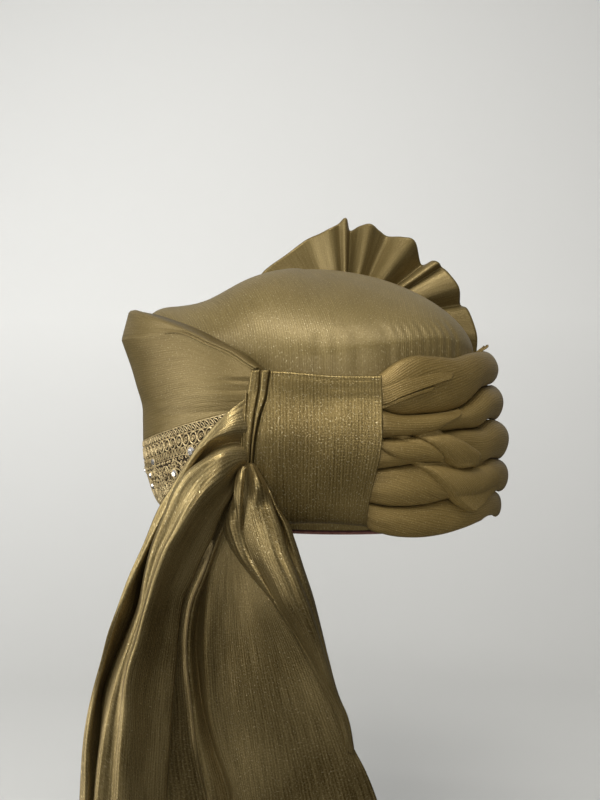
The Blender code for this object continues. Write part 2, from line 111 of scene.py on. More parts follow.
# Pleats over it: name, left edge, right edge as x and height, how far it stands out, flat size
PLEATS = [
    ("band_pleat_1", [(-54.1, 97.4), (-55.0, 88.6), (-56.7, 79.4), (-57.3, 57.2), (-57.3, 41.0)],
     [(-47.8, 97.6), (-48.4, 87.0), (-51.0, 71.4), (-53.0, 55.4), (-54.1, 41.0)], 2.2,
     (0.01, 0.056)),
    ("band_pleat_2", [(-47.6, 97.4), (-48.1, 87.0), (-50.6, 71.4), (-52.6, 55.4), (-53.8, 41.0)],
     [(-42.4, 97.6), (-43.8, 88.0), (-44.6, 81.7), (-48.0, 71.4), (-50.6, 58.9), (-52.3, 41.0)],
     2.6, (0.01, 0.056)),
    ("band_strand_1", [(-56.4, 84.0), (-57.4, 66.0), (-57.6, 41.0)],
     [(-55.2, 84.0), (-55.9, 66.0), (-56.0, 41.0)], 3.0, (0.01, 0.036)),
    ("band_strand_2", [(-57.4, 78.0), (-58.6, 62.0), (-58.8, 42.0)],
     [(-56.3, 78.0), (-57.4, 62.0), (-57.6, 42.0)], 2.4, (0.01, 0.036)),
]

# Rolls: edges between them from bottom to top, as pairs of way from band (0) to back (1) and height
ROLL_EDGES = [
    [(0, 9.0), (0.02, 5.2), (0.077, 1.4), (0.185, -1.3), (0.3, -0.9), (0.425, 1.6), (0.52, 3.6),
     (0.62, 5.6), (0.72, 4.6), (0.87, 0.5), (1, 0)],
    [(0, 21.0), (0.077, 18.4), (0.163, 17.6), (0.244, 18.6), (0.317, 20.4), (0.45, 20.6),
     (0.6, 23.0), (0.85, 18.0), (1, 16.3)],
    [(0, 38.5), (0.107, 40.9), (0.189, 42.3), (0.262, 42.3), (0.33, 40.4), (0.489, 40.0),
     (0.609, 42.3), (0.85, 40.0), (1, 39.4)],
    [(0, 57.0), (0.141, 58.1), (0.244, 59.9), (0.386, 62.1), (0.542, 63.3), (0.609, 66.4),
     (0.85, 66.0), (1, 66.4)],
    [(0, 79.0), (0.05, 76.0), (0.114, 72.0), (0.244, 71.8), (0.381, 73.7), (0.449, 76.6),
     (0.518, 81.6), (0.578, 86.0), (0.7, 89.0), (1, 90.6)],
    [(0, 89.5), (0.048, 92.6), (0.141, 102.6), (0.196, 105.8), (0.299, 106.2), (0.425, 105.9),
     (0.526, 109.0), (0.85, 112.5), (1, 114.8)]]
# Reach of each roll to the back and to the side
ROLL_REACH = [115.5, 120.0, 120.0, 116.5, 113.0]
ROLL_SIDE = [97.0, 98.6, 99.0, 99.0, 98.6]
# How far the ribs run round each roll by the time they reach the back
ROLL_TWIST = [15.0, 27.0, 9.0, -9.0, -12.0]
# Angle where the rolls end under the bands, gap between them, and length from band to back
ROLL_END, ROLL_GAP, ROLL_HALF_RUN = 85.0, 0.35, 160.0
# Lapped layers over the near rolls: name, roll, left edge, right edge as way and height, how far it
# stands out, which edges are crisp, which ends are closed (top, foot), flat size
ROLL_STRIPS = [
    ("roll_5_fold", 5,
     [(0.035, 76.6), (0.05, 76.3), (0.121, 81.2), (0.196, 85.8), (0.27, 89.6), (0.345, 93.0)],
     [(0.035, 92.0), (0.08, 94.0), (0.15, 98.0), (0.24, 101.0), (0.32, 101.5), (0.4, 100.5)],
     2.8, "left", (False, True), (0.055, 0.018)),
    ("roll_5_pleat", 5,
     [(0.035, 73.2), (0.05, 73.7), (0.107, 77.1), (0.159, 80.8), (0.25, 85.0)],
     [(0.035, 76.6), (0.06, 77.2), (0.121, 81.6), (0.18, 85.0), (0.27, 89.0)],
     2.2, "both", (False, True), (0.033, 0.01)),
    ("roll_4_lens", 4,
     [(0.03, 58.2), (0.1, 59.0), (0.18, 59.3), (0.244, 60.7), (0.29, 65.0), (0.345, 69.2), (0.4, 74.2)],
     [(0.03, 75.6), (0.08, 73.5), (0.13, 71.6), (0.2, 71.4), (0.26, 71.9), (0.33, 72.9), (0.41, 74.8)],
     3.1, "both", (True, True), (0.062, 0.014)),
    ("roll_3_upper", 3,
     [(0.03, 53.6), (0.05, 51.2), (0.08, 47.5), (0.159, 43.9), (0.26, 43.4)],
     [(0.03, 56.6), (0.08, 57.4), (0.13, 57.8), (0.21, 56.0), (0.275, 47.0)],
     2.6, "both", (False, False), (0.042, 0.014)),
    ("roll_3_narrow", 3,
     [(0.10, 58.5), (0.15, 54.5), (0.21, 48.5), (0.262, 43.2)],
     [(0.15, 60.0), (0.195, 57.0), (0.24, 51.4), (0.285, 44.0)],
     2.4, "both", (False, False), (0.013, 0.025)),
    ("roll_3_strip", 3,
     [(0.16, 62.5), (0.189, 58.0), (0.235, 51.4), (0.285, 44.2), (0.345, 38.6)],
     [(0.27, 63.5), (0.317, 59.4), (0.402, 52.4), (0.462, 46.0), (0.455, 39.0)],
     4.2, "both", (False, True), (0.024, 0.034)),
    ("roll_2_strip", 2,
     [(0.165, 43.5), (0.189, 40.6), (0.239, 33.3), (0.29, 25.4), (0.345, 17.8), (0.405, 12.6)],
     [(0.60, 42.5), (0.66, 38.0), (0.70, 32.0), (0.71, 27.0), (0.68, 23.5), (0.60, 21.5)],
     4.2, "left", (False, False), (0.06, 0.036)),
]

# Fan: angle of a fold line up from the back, reach from the neck, side shift of that fold
FAN_NECK = (19.0, 92.5, 134.0)
# Where the fold lines start under the band and where they pass its edge: x of the middle one, how
# far they spread along x, y, z
FAN_ROOT, FAN_BEND = (-13.0, 28.0, 88.0, 84.0), (-3.0, 30.0, 88.6, 108.0)
FAN_FOLDS = [(172, 84, 5), (158, 90, -4), (145, 92, 4), (129, 87.5, 2), (116, 89.5, 5),
             (108, 89, -2), (102, 90.5, -7), (97, 94, -2), (93.5, 97, -7), (91.3, 89, 8), (86, 92, 2),
             (81, 93.5, -5), (76, 91, 2), (70.5, 89, 6), (63, 91, -6), (56.5, 92.5, -8), (46, 84, 9),
             (42.8, 90.5, -3), (40, 92.5, -7), (37.5, 93.5, 0), (33, 94, -6), (24, 95.5, -7),
             (16, 94.5, 8), (12, 97.5, -3), (0, 101.5, -7), (-9, 104, 2), (-17, 106, -5)]

# Fold lines of the three lengths of the tail and its leaf, from the knot down: x, y, z
TAIL_FRONT = [
    [(-54, -95, 82.5), (-65.5, -99, 73.5), (-80.5, -99, 57.5), (-90, -99, 43.5), (-99, -98, 29),
     (-104.5, -97, 20.5), (-115.5, -97, -5), (-122.5, -97, -20), (-129.5, -98, -39),
     (-134.5, -99, -52.5), (-138.5, -100, -68.5), (-142.5, -101, -84.5), (-146.5, -102, -106),
     (-149, -104, -145.5), (-149.5, -104, -158)],
    [(-53.5, -96, 75.5), (-66, -102, 68), (-78.5, -103, 53.5), (-88, -103, 40.5), (-95.5, -101, 27.5),
     (-100.5, -100, 18.5), (-112.5, -99, -5), (-119.5, -98, -20.5), (-127, -98, -39), (-132, -98, -54),
     (-136.5, -99, -69.5), (-140.5, -101, -86), (-143.5, -104, -106), (-144.5, -107, -144),
     (-145, -107, -156.5)],
    [(-53.5, -98, 63), (-65, -104, 62), (-76, -105, 57), (-85.5, -104, 47.5), (-92.5, -102, 36.5),
     (-100, -99, 22), (-112.5, -95, -7), (-119, -93, -23), (-123, -92, -39.5), (-129, -91, -55),
     (-135, -92, -70.5), (-140.5, -94, -88), (-142, -97, -108.5), (-142.5, -101, -147),
     (-143, -101, -159.5)],
    [(-54, -94, 55.5), (-64.5, -98, 55.5), (-74, -98, 52), (-83, -96, 43), (-91, -93, 32.5),
     (-99, -91, 18.5), (-111, -88, -9), (-117, -86, -26), (-121, -85, -41.5), (-127, -85, -57),
     (-133.5, -86, -72), (-140, -88, -91), (-140.5, -92, -111.5), (-141, -96, -150),
     (-141.5, -97, -162)],
    [(-53.5, -97, 51), (-63, -103, 52.5), (-70, -106, 51), (-77.5, -107.5, 47), (-87, -108, 40.5),
     (-94, -107, 31.5), (-100.5, -106.5, 17), (-108.5, -106.5, -3.5), (-112, -106.5, -18),
     (-115.5, -106, -36.5), (-121, -106, -53), (-127, -106.5, -70), (-132, -107, -88),
     (-136.5, -107.5, -114), (-139.5, -108, -143.5), (-140, -108, -155.5)],
    [(-53.5, -97, 48), (-61.5, -104, 49), (-68, -109, 47.5), (-75, -111, 43), (-82, -111.5, 35.5),
     (-89, -111, 25), (-95.5, -110.5, 11), (-102.7, -110.2, -3.5), (-108.7, -110.1, -22.5),
     (-112.4, -109.9, -37.5), (-116.9, -109.9, -53), (-121.7, -110.1, -68.5), (-125, -110.4, -86),
     (-128, -110.6, -113.5), (-129.9, -110.9, -141), (-130.3, -110.9, -153)],
    [(-53.5, -96, 44.5), (-60, -103, 44), (-67, -109, 38), (-77, -113, 29), (-84.5, -114.5, 19),
     (-92, -114.5, 6.5), (-96.7, -113.4, -1.7), (-100.2, -113.4, -9.2), (-104.7, -113.4, -21.8),
     (-107.7, -113.4, -32.3), (-110.7, -113.4, -42.3), (-113.8, -113.4, -55.5), (-117.4, -113.4, -66.6),
     (-119.5, -113.4, -79.8), (-119.6, -113.4, -92.1), (-120.8, -113.4, -110.2),
     (-121.9, -113.4, -129.4), (-122.4, -113.4, -152.6)],
    [(-54, -94, 42), (-60, -98, 40), (-66, -102, 30.5), (-74.5, -104, 19), (-82.5, -104, 6.5),
     (-89, -103, -6), (-94, -102, -17.5), (-99, -101, -29), (-102, -100, -42.5), (-104.5, -100, -56.5),
     (-107.5, -100, -72.5), (-109.5, -101, -92.5), (-111, -102, -119.5), (-112.5, -103, -146),
     (-113, -103, -158.5)],
    [(-54, -93, 39.5), (-59.5, -96, 35), (-63.5, -98, 27), (-70, -99, 15), (-75.5, -98, 2),
     (-82.5, -97, -12), (-87.5, -96, -24), (-92, -95, -33), (-94, -94, -42.5), (-95.5, -94, -54),
     (-97, -94, -75), (-99, -94, -95.5), (-101, -94, -123.5), (-102.5, -94, -151), (-103, -94, -163.5)],
    [(-54, -91, 39.5), (-60.5, -93, 33.5), (-66, -92, 23.5), (-74, -89, 11), (-80.5, -86, -2.5),
     (-87, -84, -16.5), (-92, -83, -29), (-96.5, -82, -39), (-98.5, -82, -48.5), (-100.5, -82, -59),
     (-102, -82, -79), (-104.5, -82, -100.5), (-106.5, -82, -129), (-108, -82, -157.5),
     (-108.5, -82, -168)],
]
TAIL_BACK = [
    [(-63.5, -90, 31), (-75.5, -86, 14), (-85.9, -78.8, -3.6), (-97.9, -70.2, -26.6),
     (-105.8, -70, -41.9), (-109.1, -70, -60.4), (-110.6, -70, -76.1), (-112.2, -70, -102.9),
     (-114.2, -70, -134.9), (-115.2, -70, -164.3), (-115.7, -70, -171)],
    [(-60, -94, 31.5), (-66, -93.5, 15), (-73.7, -88.2, -1.8), (-84.1, -73.5, -25.9),
     (-91.4, -71, -44.3), (-94, -71, -61.1), (-94.2, -71, -78.3), (-91.5, -71, -105.1),
     (-88, -71, -134.5), (-81.8, -71, -163.5), (-80.7, -71, -171)],
    [(-60, -94, 31.5), (-66, -93.5, 15), (-73, -92.5, -1), (-80.5, -92, -21.5), (-87, -92, -38.5),
     (-89.5, -92, -54.5), (-89.5, -93, -70.5), (-87, -93, -96), (-83.5, -94, -123.5),
     (-77.5, -95, -150.5), (-76.5, -95, -162)],
    [(-59.5, -94, 31.5), (-65, -93.5, 15), (-71.5, -92, -1), (-78.5, -90, -22), (-83.5, -87, -40),
     (-86, -86, -61), (-84.5, -86, -85), (-82, -87, -101.5), (-76, -88, -123), (-68, -89, -146.5),
     (-64.5, -89, -165.5)],
    [(-59, -94.5, 31.5), (-63.5, -94.5, 15.5), (-69.5, -94, -1), (-76, -93.5, -21), (-78.5, -94, -41.5),
     (-79, -95, -61), (-78, -94, -81.5), (-76.5, -93, -100.5), (-71.5, -93, -122.5), (-63.5, -94, -145),
     (-61, -94, -162.5)],
    [(-58.5, -95, 31.5), (-62, -95.5, 16.5), (-66.5, -95.5, -0.5), (-70.5, -95, -23.5), (-72, -94, -47),
     (-71.5, -93, -70.5), (-69.5, -93, -93.5), (-65.5, -93, -117), (-61, -94, -139.5),
     (-56, -95, -162)],
    [(-58, -96, 31.5), (-60.5, -97, 17), (-62.5, -97, -3), (-60.5, -97, -29), (-57.5, -97, -57.5),
     (-53.5, -98, -86), (-49, -98, -114.5), (-44.5, -99, -142.5), (-41.5, -99, -161)],
    [(-57, -97, 32), (-58.5, -99, 16), (-57, -100, -5.5), (-50.5, -101, -33.5), (-43, -101, -62),
     (-36, -102, -90), (-29, -102, -118.5), (-23.5, -102, -146.5), (-21, -102, -159)],
    [(-56.5, -98, 32), (-57, -99.5, 16), (-51, -101, -11), (-39, -102, -39), (-26.5, -102, -67.5),
     (-16, -103, -95.5), (-7.5, -103.5, -120.5), (-0.5, -104, -145.5), (1.5, -104, -158)],
    [(-56, -98, 32), (-54, -99.5, 16), (-46, -100, -11), (-32.5, -101, -39.5), (-15, -101, -67.5),
     (-3, -101.5, -96), (5.5, -101, -117.5), (12, -101, -130), (19, -100, -148), (23, -100, -160.5)],
]
TAIL_SIDE = [
    [(-56.5, -95, 39.5), (-63.5, -97, 22.5), (-68.5, -97.5, 7.5), (-65, -98.5, -3), (-60.5, -99.5, -10),
     (-52, -101.5, -20.5), (-42.5, -102.5, -31.5), (-34.5, -103.5, -43), (-26, -103.5, -56.5),
     (-18, -103.5, -71.5), (-10.5, -104, -86), (-3.5, -104, -98), (1.5, -102.5, -119)],
    [(-56.5, -97, 41), (-62, -102, 26), (-64, -103, 11), (-60.5, -103.5, -0.5), (-56, -104.5, -10),
     (-48.5, -105.5, -20), (-39.5, -106, -32.5), (-31.5, -106.5, -44), (-24, -106.5, -57.5),
     (-16.5, -106, -71), (-9.5, -105.5, -85), (-3, -104.5, -98), (2, -102.5, -119)],
    [(-56, -98, 42), (-59.5, -104, 31.5), (-59, -106, 19.5), (-57.5, -105, 7), (-53.5, -105, -6),
     (-47, -106, -19.5), (-39, -107, -33), (-30.5, -107, -46.5), (-23, -107, -60),
     (-15.5, -106.5, -73.5), (-8.5, -106, -86), (-2.5, -105, -98), (2.5, -103, -119.5)],
    [(-55.5, -97, 42), (-57.5, -102, 30), (-57.5, -104, 17), (-56, -105, 4.5), (-52, -105.5, -7.5),
     (-45, -106, -20.5), (-38.5, -106, -34), (-30, -106, -48), (-21.5, -106, -62), (-15, -106, -75.5),
     (-8.5, -105.5, -87), (-2, -105.5, -97.5), (3.5, -103, -119.5)],
    [(-54.5, -99, 43.5), (-53.8, -103.2, 31.5), (-52.7, -107, 18.6), (-49.5, -110, 6.5),
     (-44.4, -112.5, -6.5), (-38.4, -114.5, -18.9), (-32.9, -115, -31.6), (-25, -113.5, -45.8),
     (-18.5, -111.5, -60.1), (-12.5, -108, -74.5), (-6.5, -107, -86.5), (-1.5, -106, -97.5),
     (4, -103, -120)],
    [(-53, -100, 44), (-48.5, -111, 33.5), (-46.3, -108.8, 20.8), (-42, -113.5, 7.3), (-37.4, -117, -6),
     (-31.4, -118.9, -18.4), (-26.5, -119, -31), (-20.6, -117.5, -44.5), (-15.1, -115, -58.8),
     (-10.6, -112.5, -73.1), (-5, -108.5, -86.5), (-1, -106, -97.5), (4.5, -103, -120)],
    [(-51.5, -99, 43.5), (-44.7, -104, 32.4), (-41.2, -107.8, 21.9), (-37, -111.5, 9.8),
     (-32.4, -115.4, -3.8), (-26.5, -117.4, -18.1), (-20.6, -117, -33.3), (-14.6, -114.6, -51.9),
     (-9.1, -111.1, -70.5), (-3.5, -107, -87.5), (-0.5, -105.5, -97.5), (5, -103, -120.5)],
    [(-50.5, -98, 42), (-44.1, -101.4, 30.8), (-40.1, -103.4, 21.1), (-35.5, -105.9, 9.4),
     (-31, -108.5, -5.5), (-25.5, -110, -19.9), (-19.1, -109.5, -36.7), (-13.1, -108, -56.7),
     (-8.1, -106.1, -72.7), (-3.5, -104, -88.5), (0.5, -104, -98), (5.5, -102.5, -121)],
    [(-50, -99, 41), (-43, -104, 30), (-38.5, -107, 20), (-33.5, -108.5, 10.5), (-29.5, -108.5, -1),
     (-24.5, -108, -15), (-19, -107, -31), (-14, -106, -49), (-9, -105, -67), (-3.5, -104.5, -87.5),
     (1, -104, -98), (5.5, -102.5, -121)],
    [(-49.5, -98.5, 40), (-43, -102, 28), (-37, -104, 18), (-31.5, -105, 10), (-28, -105, 0.5),
     (-23.5, -104, -14), (-18, -103, -31), (-13.5, -103, -48.5), (-9, -102, -67.5), (-3, -102, -88.5),
     (1.5, -102, -99), (6, -102, -122)],
]
TAIL_LEAF = [
    [(-59.5, -98, 42), (-61.5, -103, 35), (-62, -105.5, 27), (-60.5, -105.5, 17), (-58.8, -104, 5)],
    [(-58, -99, 42.5), (-58.5, -105, 35), (-59.2, -107.5, 25), (-58.8, -107, 15), (-58.2, -104.6, 4.5)],
    [(-56.6, -99, 42.5), (-56.6, -104, 34), (-57.3, -106, 24), (-57.8, -106, 14), (-57.8, -104, 4)]]
# Name, fold lines, points down and across, flat size in metres, ripples to a fold and their depth
TAIL_LENGTHS = [
    ("tail_cloth_front", TAIL_FRONT, 120, 130, (0.082, 0.265), 2.6, 0.04),
    ("tail_cloth_back", TAIL_BACK, 110, 120, (0.08, 0.24), 2.2, 0.04),
    ("tail_cloth_side", TAIL_SIDE, 110, 110, (0.05, 0.165), 1.6, 0.04),
    ("tail_leaf", TAIL_LEAF, 40, 18, (0.01, 0.030), 1.0, 0.0)]


# Curves and tables


def cubic(s, p, at):
    """Values p at places s on a smooth curve: a cubic between neighbours, its slopes from their
    differences."""
    slope = np.gradient(p, s, axis=0)
    at = np.clip(at, s[0], s[-1])
    i = np.clip(np.searchsorted(s, at) - 1, 0, len(s) - 2)
    wide = np.shape(at) + (1,) * (p.ndim - 1)
    h = (s[i + 1] - s[i]).reshape(wide)
    t = (at - s[i]).reshape(wide) / h
    return ((2 * t**3 - 3 * t**2 + 1) * p[i] + (t**3 - 2 * t**2 + t) * h * slope[i]
            + (3 * t**2 - 2 * t**3) * p[i + 1] + (t**3 - t**2) * h * slope[i + 1])


def smooth_table(where, rows, column):
    """A column of a table on a smooth curve, at places in its first column."""
    rows = np.array(rows, float)
    return cubic(rows[:, 0], rows[:, column], where)


def through(points, share, even=False):
    """The smooth curve through points, at shares 0 to 1 of its length, or of their count if even."""
    p = np.array(points, float)
    step = np.linalg.norm(np.diff(p.reshape(len(p), -1), axis=0), axis=1)
    s = np.r_[0, np.cumsum(np.ones(len(step)) if even else step)]
    return cubic(s, p, np.asarray(share, float) * s[-1])


def bell(x):
    """1 at x = 0, fading to 0 on both sides."""
    return np.exp(-x * x)


def ease(x):
    """0 below 0, 1 above 1, smooth between."""
    x = np.clip(x, 0, 1)
    return x * x * (3 - 2 * x)


def lap(past, rise, fade):
    """The edge of a lapped layer: up over a short rise, then sinking slowly with distance past it."""
    return ease(past / rise + 1) * np.exp(-np.clip(past, 0, None) / fade)


def drift(x, y, waves):
    """A soft unevenness between -1 and 1: a sum of sines across two directions."""
    total = 0
    for across, along, start in waves:
        total = total + np.sin(across * x + along * y + start)
    return total / len(waves)


def plan(angle, long, wide, power=2.0):
    """The point of a rounded outline at an angle from +X: long along X, wide along Y."""
    c, s = np.cos(np.radians(angle)), np.sin(np.radians(angle))
    return long * signed_power(c, 2.0 / power), wide * signed_power(s, 2.0 / power)


def stack(x, y, z):
    """Grids of x, y and z as one grid of points."""
    return np.stack(np.broadcast_arrays(x, y, z), axis=-1).astype(float)


def lengths(grid, axis):
    """How far each point of a grid is along its row or column, on the surface."""
    step = np.linalg.norm(np.diff(grid, axis=axis), axis=-1)
    pad = [(0, 0), (0, 0)]
    pad[axis] = (1, 0)
    return np.pad(np.cumsum(step, axis=axis), pad)


def lay(across, along):
    """A flat lay from the distance across the ribs and the distance along them."""
    return np.stack(np.broadcast_arrays(across, along), -1)


def unit(way):
    """Directions brought to length 1."""
    return way / np.maximum(np.linalg.norm(way, axis=-1, keepdims=True), 1e-9)


def normals(grid):
    """Unit normals of a grid, from the differences along its rows and columns."""
    return unit(np.cross(np.gradient(grid, axis=1), np.gradient(grid, axis=0)))


def once_round(count):
    """Angles spaced evenly once round, in radians."""
    return np.linspace(0, 2 * np.pi, count + 1)[:-1]


def signed_power(value, power):
    """A value raised to a power with its sign kept, which squares or pinches an oval."""
    return np.sign(value) * np.abs(value) ** power


# Meshes


def placed(name, data):
    """An object of a mesh, a lamp or a camera, in the scene and at the origin."""
    thing = bpy.data.objects.new(name, data)
    bpy.context.scene.collection.objects.link(thing)
    return thing


def mesh_of(name, points, faces, flats=None):
    """An object from points in mm, arrays of faces, and for each array its corners' flat lay in mm."""
    mesh = bpy.data.meshes.new(name)
    corners = np.concatenate([f.ravel() for f in faces]).astype(np.int32)
    sizes = np.concatenate([np.full(len(f), f.shape[1]) for f in faces])
    starts = np.r_[0, np.cumsum(sizes)[:-1]].astype(np.int32)
    mesh.vertices.add(len(points))
    mesh.vertices.foreach_set("co", (np.asarray(points) / 1000).astype(np.float32).ravel())
    mesh.loops.add(len(corners))
    mesh.loops.foreach_set("vertex_index", corners)
    mesh.polygons.add(len(sizes))
    mesh.polygons.foreach_set("loop_start", starts)
    mesh.polygons.foreach_set("use_smooth", np.full(len(sizes), True))
    if flats is not None:
        layer = mesh.uv_layers.new(name="Weave")
        flat = np.concatenate([f.reshape(-1, 2) for f in flats]) / 1000
        layer.data.foreach_set("uv", flat.astype(np.float32).ravel())
    mesh.update(calc_edges=True)
    mesh.validate()
    return placed(name, mesh)


def quads_of(rows, cols, around):
    """Four-sided faces of a grid, and the places of their corners in a grid of flat lays."""
    r, c = np.meshgrid(np.arange(rows - 1), np.arange(cols if around else cols - 1), indexing="ij")
    r, c = r.ravel(), c.ravel()
    rs, cs = np.stack([r, r, r + 1, r + 1], 1), np.stack([c, c + 1, c + 1, c], 1)
    return rs * cols + cs % cols, (rs, cs)


def finish_piece(piece, look, nodes):
    """The piece gets its cloth, rides with the turban and stands for its solids."""
    piece.data.materials.append(look)
    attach(piece, "root")
    if nodes:
        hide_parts(*nodes)
    return piece


def cloth(name, grid, flat, thick, look, nodes=(), around=False, pole=False,
          middle=None, side=-1.0):
    """A sheet on a grid of points, with a flat lay in mm: its first number runs across the ribs.

    The faces look away from the middle. Solidify gives the thickness, inward (side -1) or both ways.
    """
    rows, cols = grid.shape[:2]
    quads, places = quads_of(rows, cols, around)
    points, faces, flats = grid.reshape(-1, 3), [quads], [flat[places]]
    if pole:
        top = len(points)
        points = np.vstack([points, grid[0].mean(0)])
        c = np.arange(cols)
        faces.append(np.stack([(c + 1) % cols, c, np.full(cols, top)], 1))
        centre = np.broadcast_to(flat[0].mean(0), (cols, 2))
        flats.append(np.stack([flat[0, c + 1], flat[0, c], centre], 1))
    if middle is not None:
        n = np.cross(grid[:-1, 1:] - grid[:-1, :-1], grid[1:, :-1] - grid[:-1, :-1])
        if (n * (grid[:-1, :-1] - np.array(middle, float))).sum() < 0:
            faces = [f[:, ::-1] for f in faces]
            flats = [f[:, ::-1] for f in flats]
    piece = mesh_of(name, points, faces, flats)
    wall = piece.modifiers.new("Thickness", "SOLIDIFY")
    wall.thickness = thick / 1000
    wall.offset = side
    return finish_piece(piece, look, nodes)


def tubes(paths, out, radius, closed, sides):
    """Round threads: a ring of points about each place of each path, square to the way it goes.

    paths is (threads, places, 3), out the direction away from the cloth, radius one number or one
    for each place. Returns points and arrays of faces.
    """
    k, n = paths.shape[:2]
    if closed:
        way = np.roll(paths, -1, 1) - np.roll(paths, 1, 1)
    else:
        way = np.gradient(paths, axis=1)
    way = unit(way)
    beside = unit(np.cross(way, out))
    up = np.cross(beside, way)
    turn = once_round(sides)
    r = np.broadcast_to(np.asarray(radius, float), (k, n))[..., None, None]
    ring = (paths[:, :, None] + r * (np.cos(turn)[:, None] * beside[:, :, None]
                                     + np.sin(turn)[:, None] * up[:, :, None]))
    i, s = np.meshgrid(np.arange(n if closed else n - 1), np.arange(sides), indexing="ij")
    i, s = i.ravel(), s.ravel()
    j, t = (i + 1) % n, (s + 1) % sides
    one = np.stack([i * sides + s, i * sides + t, j * sides + t, j * sides + s], 1)
    start = (np.arange(k) * n * sides)[:, None, None]
    faces = [(one[None] + start).reshape(-1, 4)]
    if not closed:
        c = np.arange(sides)
        ends = np.stack([c[::-1], (n - 1) * sides + c])
        faces.append((ends[None] + start).reshape(-1, sides))
    return ring.reshape(-1, 3), faces


def bundle(name, parts, look, nodes=()):
    """Several sets of points and faces as one piece."""
    points, faces, start = [], {}, 0
    for p, arrays in parts:
        points.append(p)
        for a in arrays:
            faces.setdefault(a.shape[1], []).append(a + start)
        start += len(p)
    piece = mesh_of(name, np.concatenate(points), [np.concatenate(f) for f in faces.values()])
    return finish_piece(piece, look, nodes)


# Finishes

# Sideways sway of the ribs and pitch of the weft threads in metres, and what a painted glint, a speck of
# painted highlight, adds to its cloth's lighter colour
RIB_SWAY, WEFT_PITCH = 0.0006, 0.0009
PAINTED_GLINT_PALE = (0.62, 0.58, 0.42)


def new_look(name):
    """A material with an empty Principled shader, its nodes and its links."""
    look = bpy.data.materials.new(name)
    look.use_nodes = True
    tree = look.node_tree
    return look, tree, tree.nodes["Principled BSDF"]


def fill(tree, n, inputs):
    """A node's own inputs, linked where they come from another node and set where they are values."""
    for key, value in inputs.items():
        if isinstance(value, bpy.types.NodeSocket):
            tree.links.new(value, n.inputs[key])
        else:
            n.inputs[key].default_value = value


def node(tree, kind, inputs=None, **settings):
    """A node with its settings and its inputs."""
    n = tree.nodes.new(kind)
    for key, value in settings.items():
        setattr(n, key, value)
    fill(tree, n, inputs or {})
    return n


def maths(tree, operation, a, b=0.0):
    """Two values joined by an operation."""
    return node(tree, "ShaderNodeMath", {0: a, 1: b}, operation=operation).outputs[0]


def plus(tree, *values):
    """The sum of values, one after another."""
    total = values[0]
    for value in values[1:]:
        total = maths(tree, "ADD", total, value)
    return total


def times(tree, a, b):
    """The product of two values."""
    return maths(tree, "MULTIPLY", a, b)


def span(tree, value, low, high, to_low=0.0, to_high=1.0):
    """A value carried from one range to another, clamped."""
    return node(tree, "ShaderNodeMapRange", {0: value, 1: low, 2: high, 3: to_low, 4: to_high}
                ).outputs[0]


def mixed(tree, share, a, b):
    """Two colours mixed by a share."""
    return node(tree, "ShaderNodeMix", {0: share, 6: a, 7: b}, data_type="RGBA").outputs[2]


def raised(tree, height, distance, strength=1.0):
    """A surface direction that shows a height."""
    return node(tree, "ShaderNodeBump", {"Height": height, "Distance": distance,
                                         "Strength": strength}).outputs[0]


def flat_place(tree):
    """The place on the cloth laid flat, in metres."""
    return node(tree, "ShaderNodeUVMap", uv_map="Weave").outputs[0]


def solid_place(tree):
    """The place in the turban's own frame, in metres."""
    return node(tree, "ShaderNodeTexCoord").outputs["Object"]


def rib_cloth(name, deep, light, pitch, tone, rib, metal, painted_glint, rough=0.42, spread=0.75):
    """Ribbed cloth of metal thread: ribs at a pitch in mm across the flat lay, threads between
    them, grains, specks painted pale as glints (painted highlights, also smoother), and slow changes of
    tone over the piece."""
    look, tree, shader = new_look(name)
    parts = node(tree, "ShaderNodeSeparateXYZ", {0: flat_place(tree)})
    across, along = parts.outputs[0], parts.outputs[1]

    def cloud(place, scale, detail):
        return node(tree, "ShaderNodeTexNoise",
                    {"Vector": place, "Scale": scale, "Detail": detail}).outputs[0]

    def wave_along(distance, length):
        return maths(tree, "SINE", times(tree, distance, 2 * np.pi / length))

    def specks(wide, long, detail):
        at = node(tree, "ShaderNodeCombineXYZ",
                  {0: times(tree, across, wide), 1: times(tree, along, long)})
        return cloud(at.outputs[0], 1.0, detail)

    sway = cloud(solid_place(tree), 45.0, 1.0)
    swayed = plus(tree, across, span(tree, sway, 0, 1, -RIB_SWAY, RIB_SWAY))
    wave, fine = wave_along(swayed, pitch / 1000), wave_along(swayed, pitch / 3200)
    weft = wave_along(along, WEFT_PITCH)
    ribs = maths(tree, "POWER", span(tree, wave, -1, 1), 2.0)
    grain, streak, cell = specks(1500.0, 1000.0, 2.0), specks(900.0, 45.0, 1.0), specks(700, 620, 0.0)
    # Painted highlight: where fine grains and coarse cells meet, the colour is painted pale as a glint
    # and the roughness drops
    painted_glints = times(tree, span(tree, grain, 0.56, 0.74), span(tree, cell, 0.45, 0.65))
    patch = cloud(solid_place(tree), 16.0, 2.0)
    total = plus(tree, times(tree, ribs, tone), times(tree, streak, 0.5),
                 span(tree, patch, 0.3, 0.7, -0.14, 0.14),
                 span(tree, grain, 0.25, 0.75, -0.16, 0.16), times(tree, fine, 0.05))
    colour = mixed(tree, total, (*deep, 1), (*light, 1))
    painted_glint_colour = tuple(0.9 * c + k for c, k in zip(light, PAINTED_GLINT_PALE))
    height = plus(tree, times(tree, wave, rib), times(tree, plus(tree, fine, weft), 0.012),
                  times(tree, grain, 0.13))
    tangent = node(tree, "ShaderNodeTangent", direction_type="UV_MAP", uv_map="Weave")
    # The glints mix the base colour toward a pale gold: painted highlights
    fill(tree, shader, {
        "Base Color": mixed(tree, times(tree, painted_glints, painted_glint), colour, (*painted_glint_colour, 1)),
        "Roughness": span(tree, painted_glints, 0, 1, rough, rough - 0.14),
        "Normal": raised(tree, height, 0.001, 0.8), "Tangent": tangent.outputs[0],
        "Metallic": metal, "Anisotropic": spread, "Specular IOR Level": 0.3})
    return look


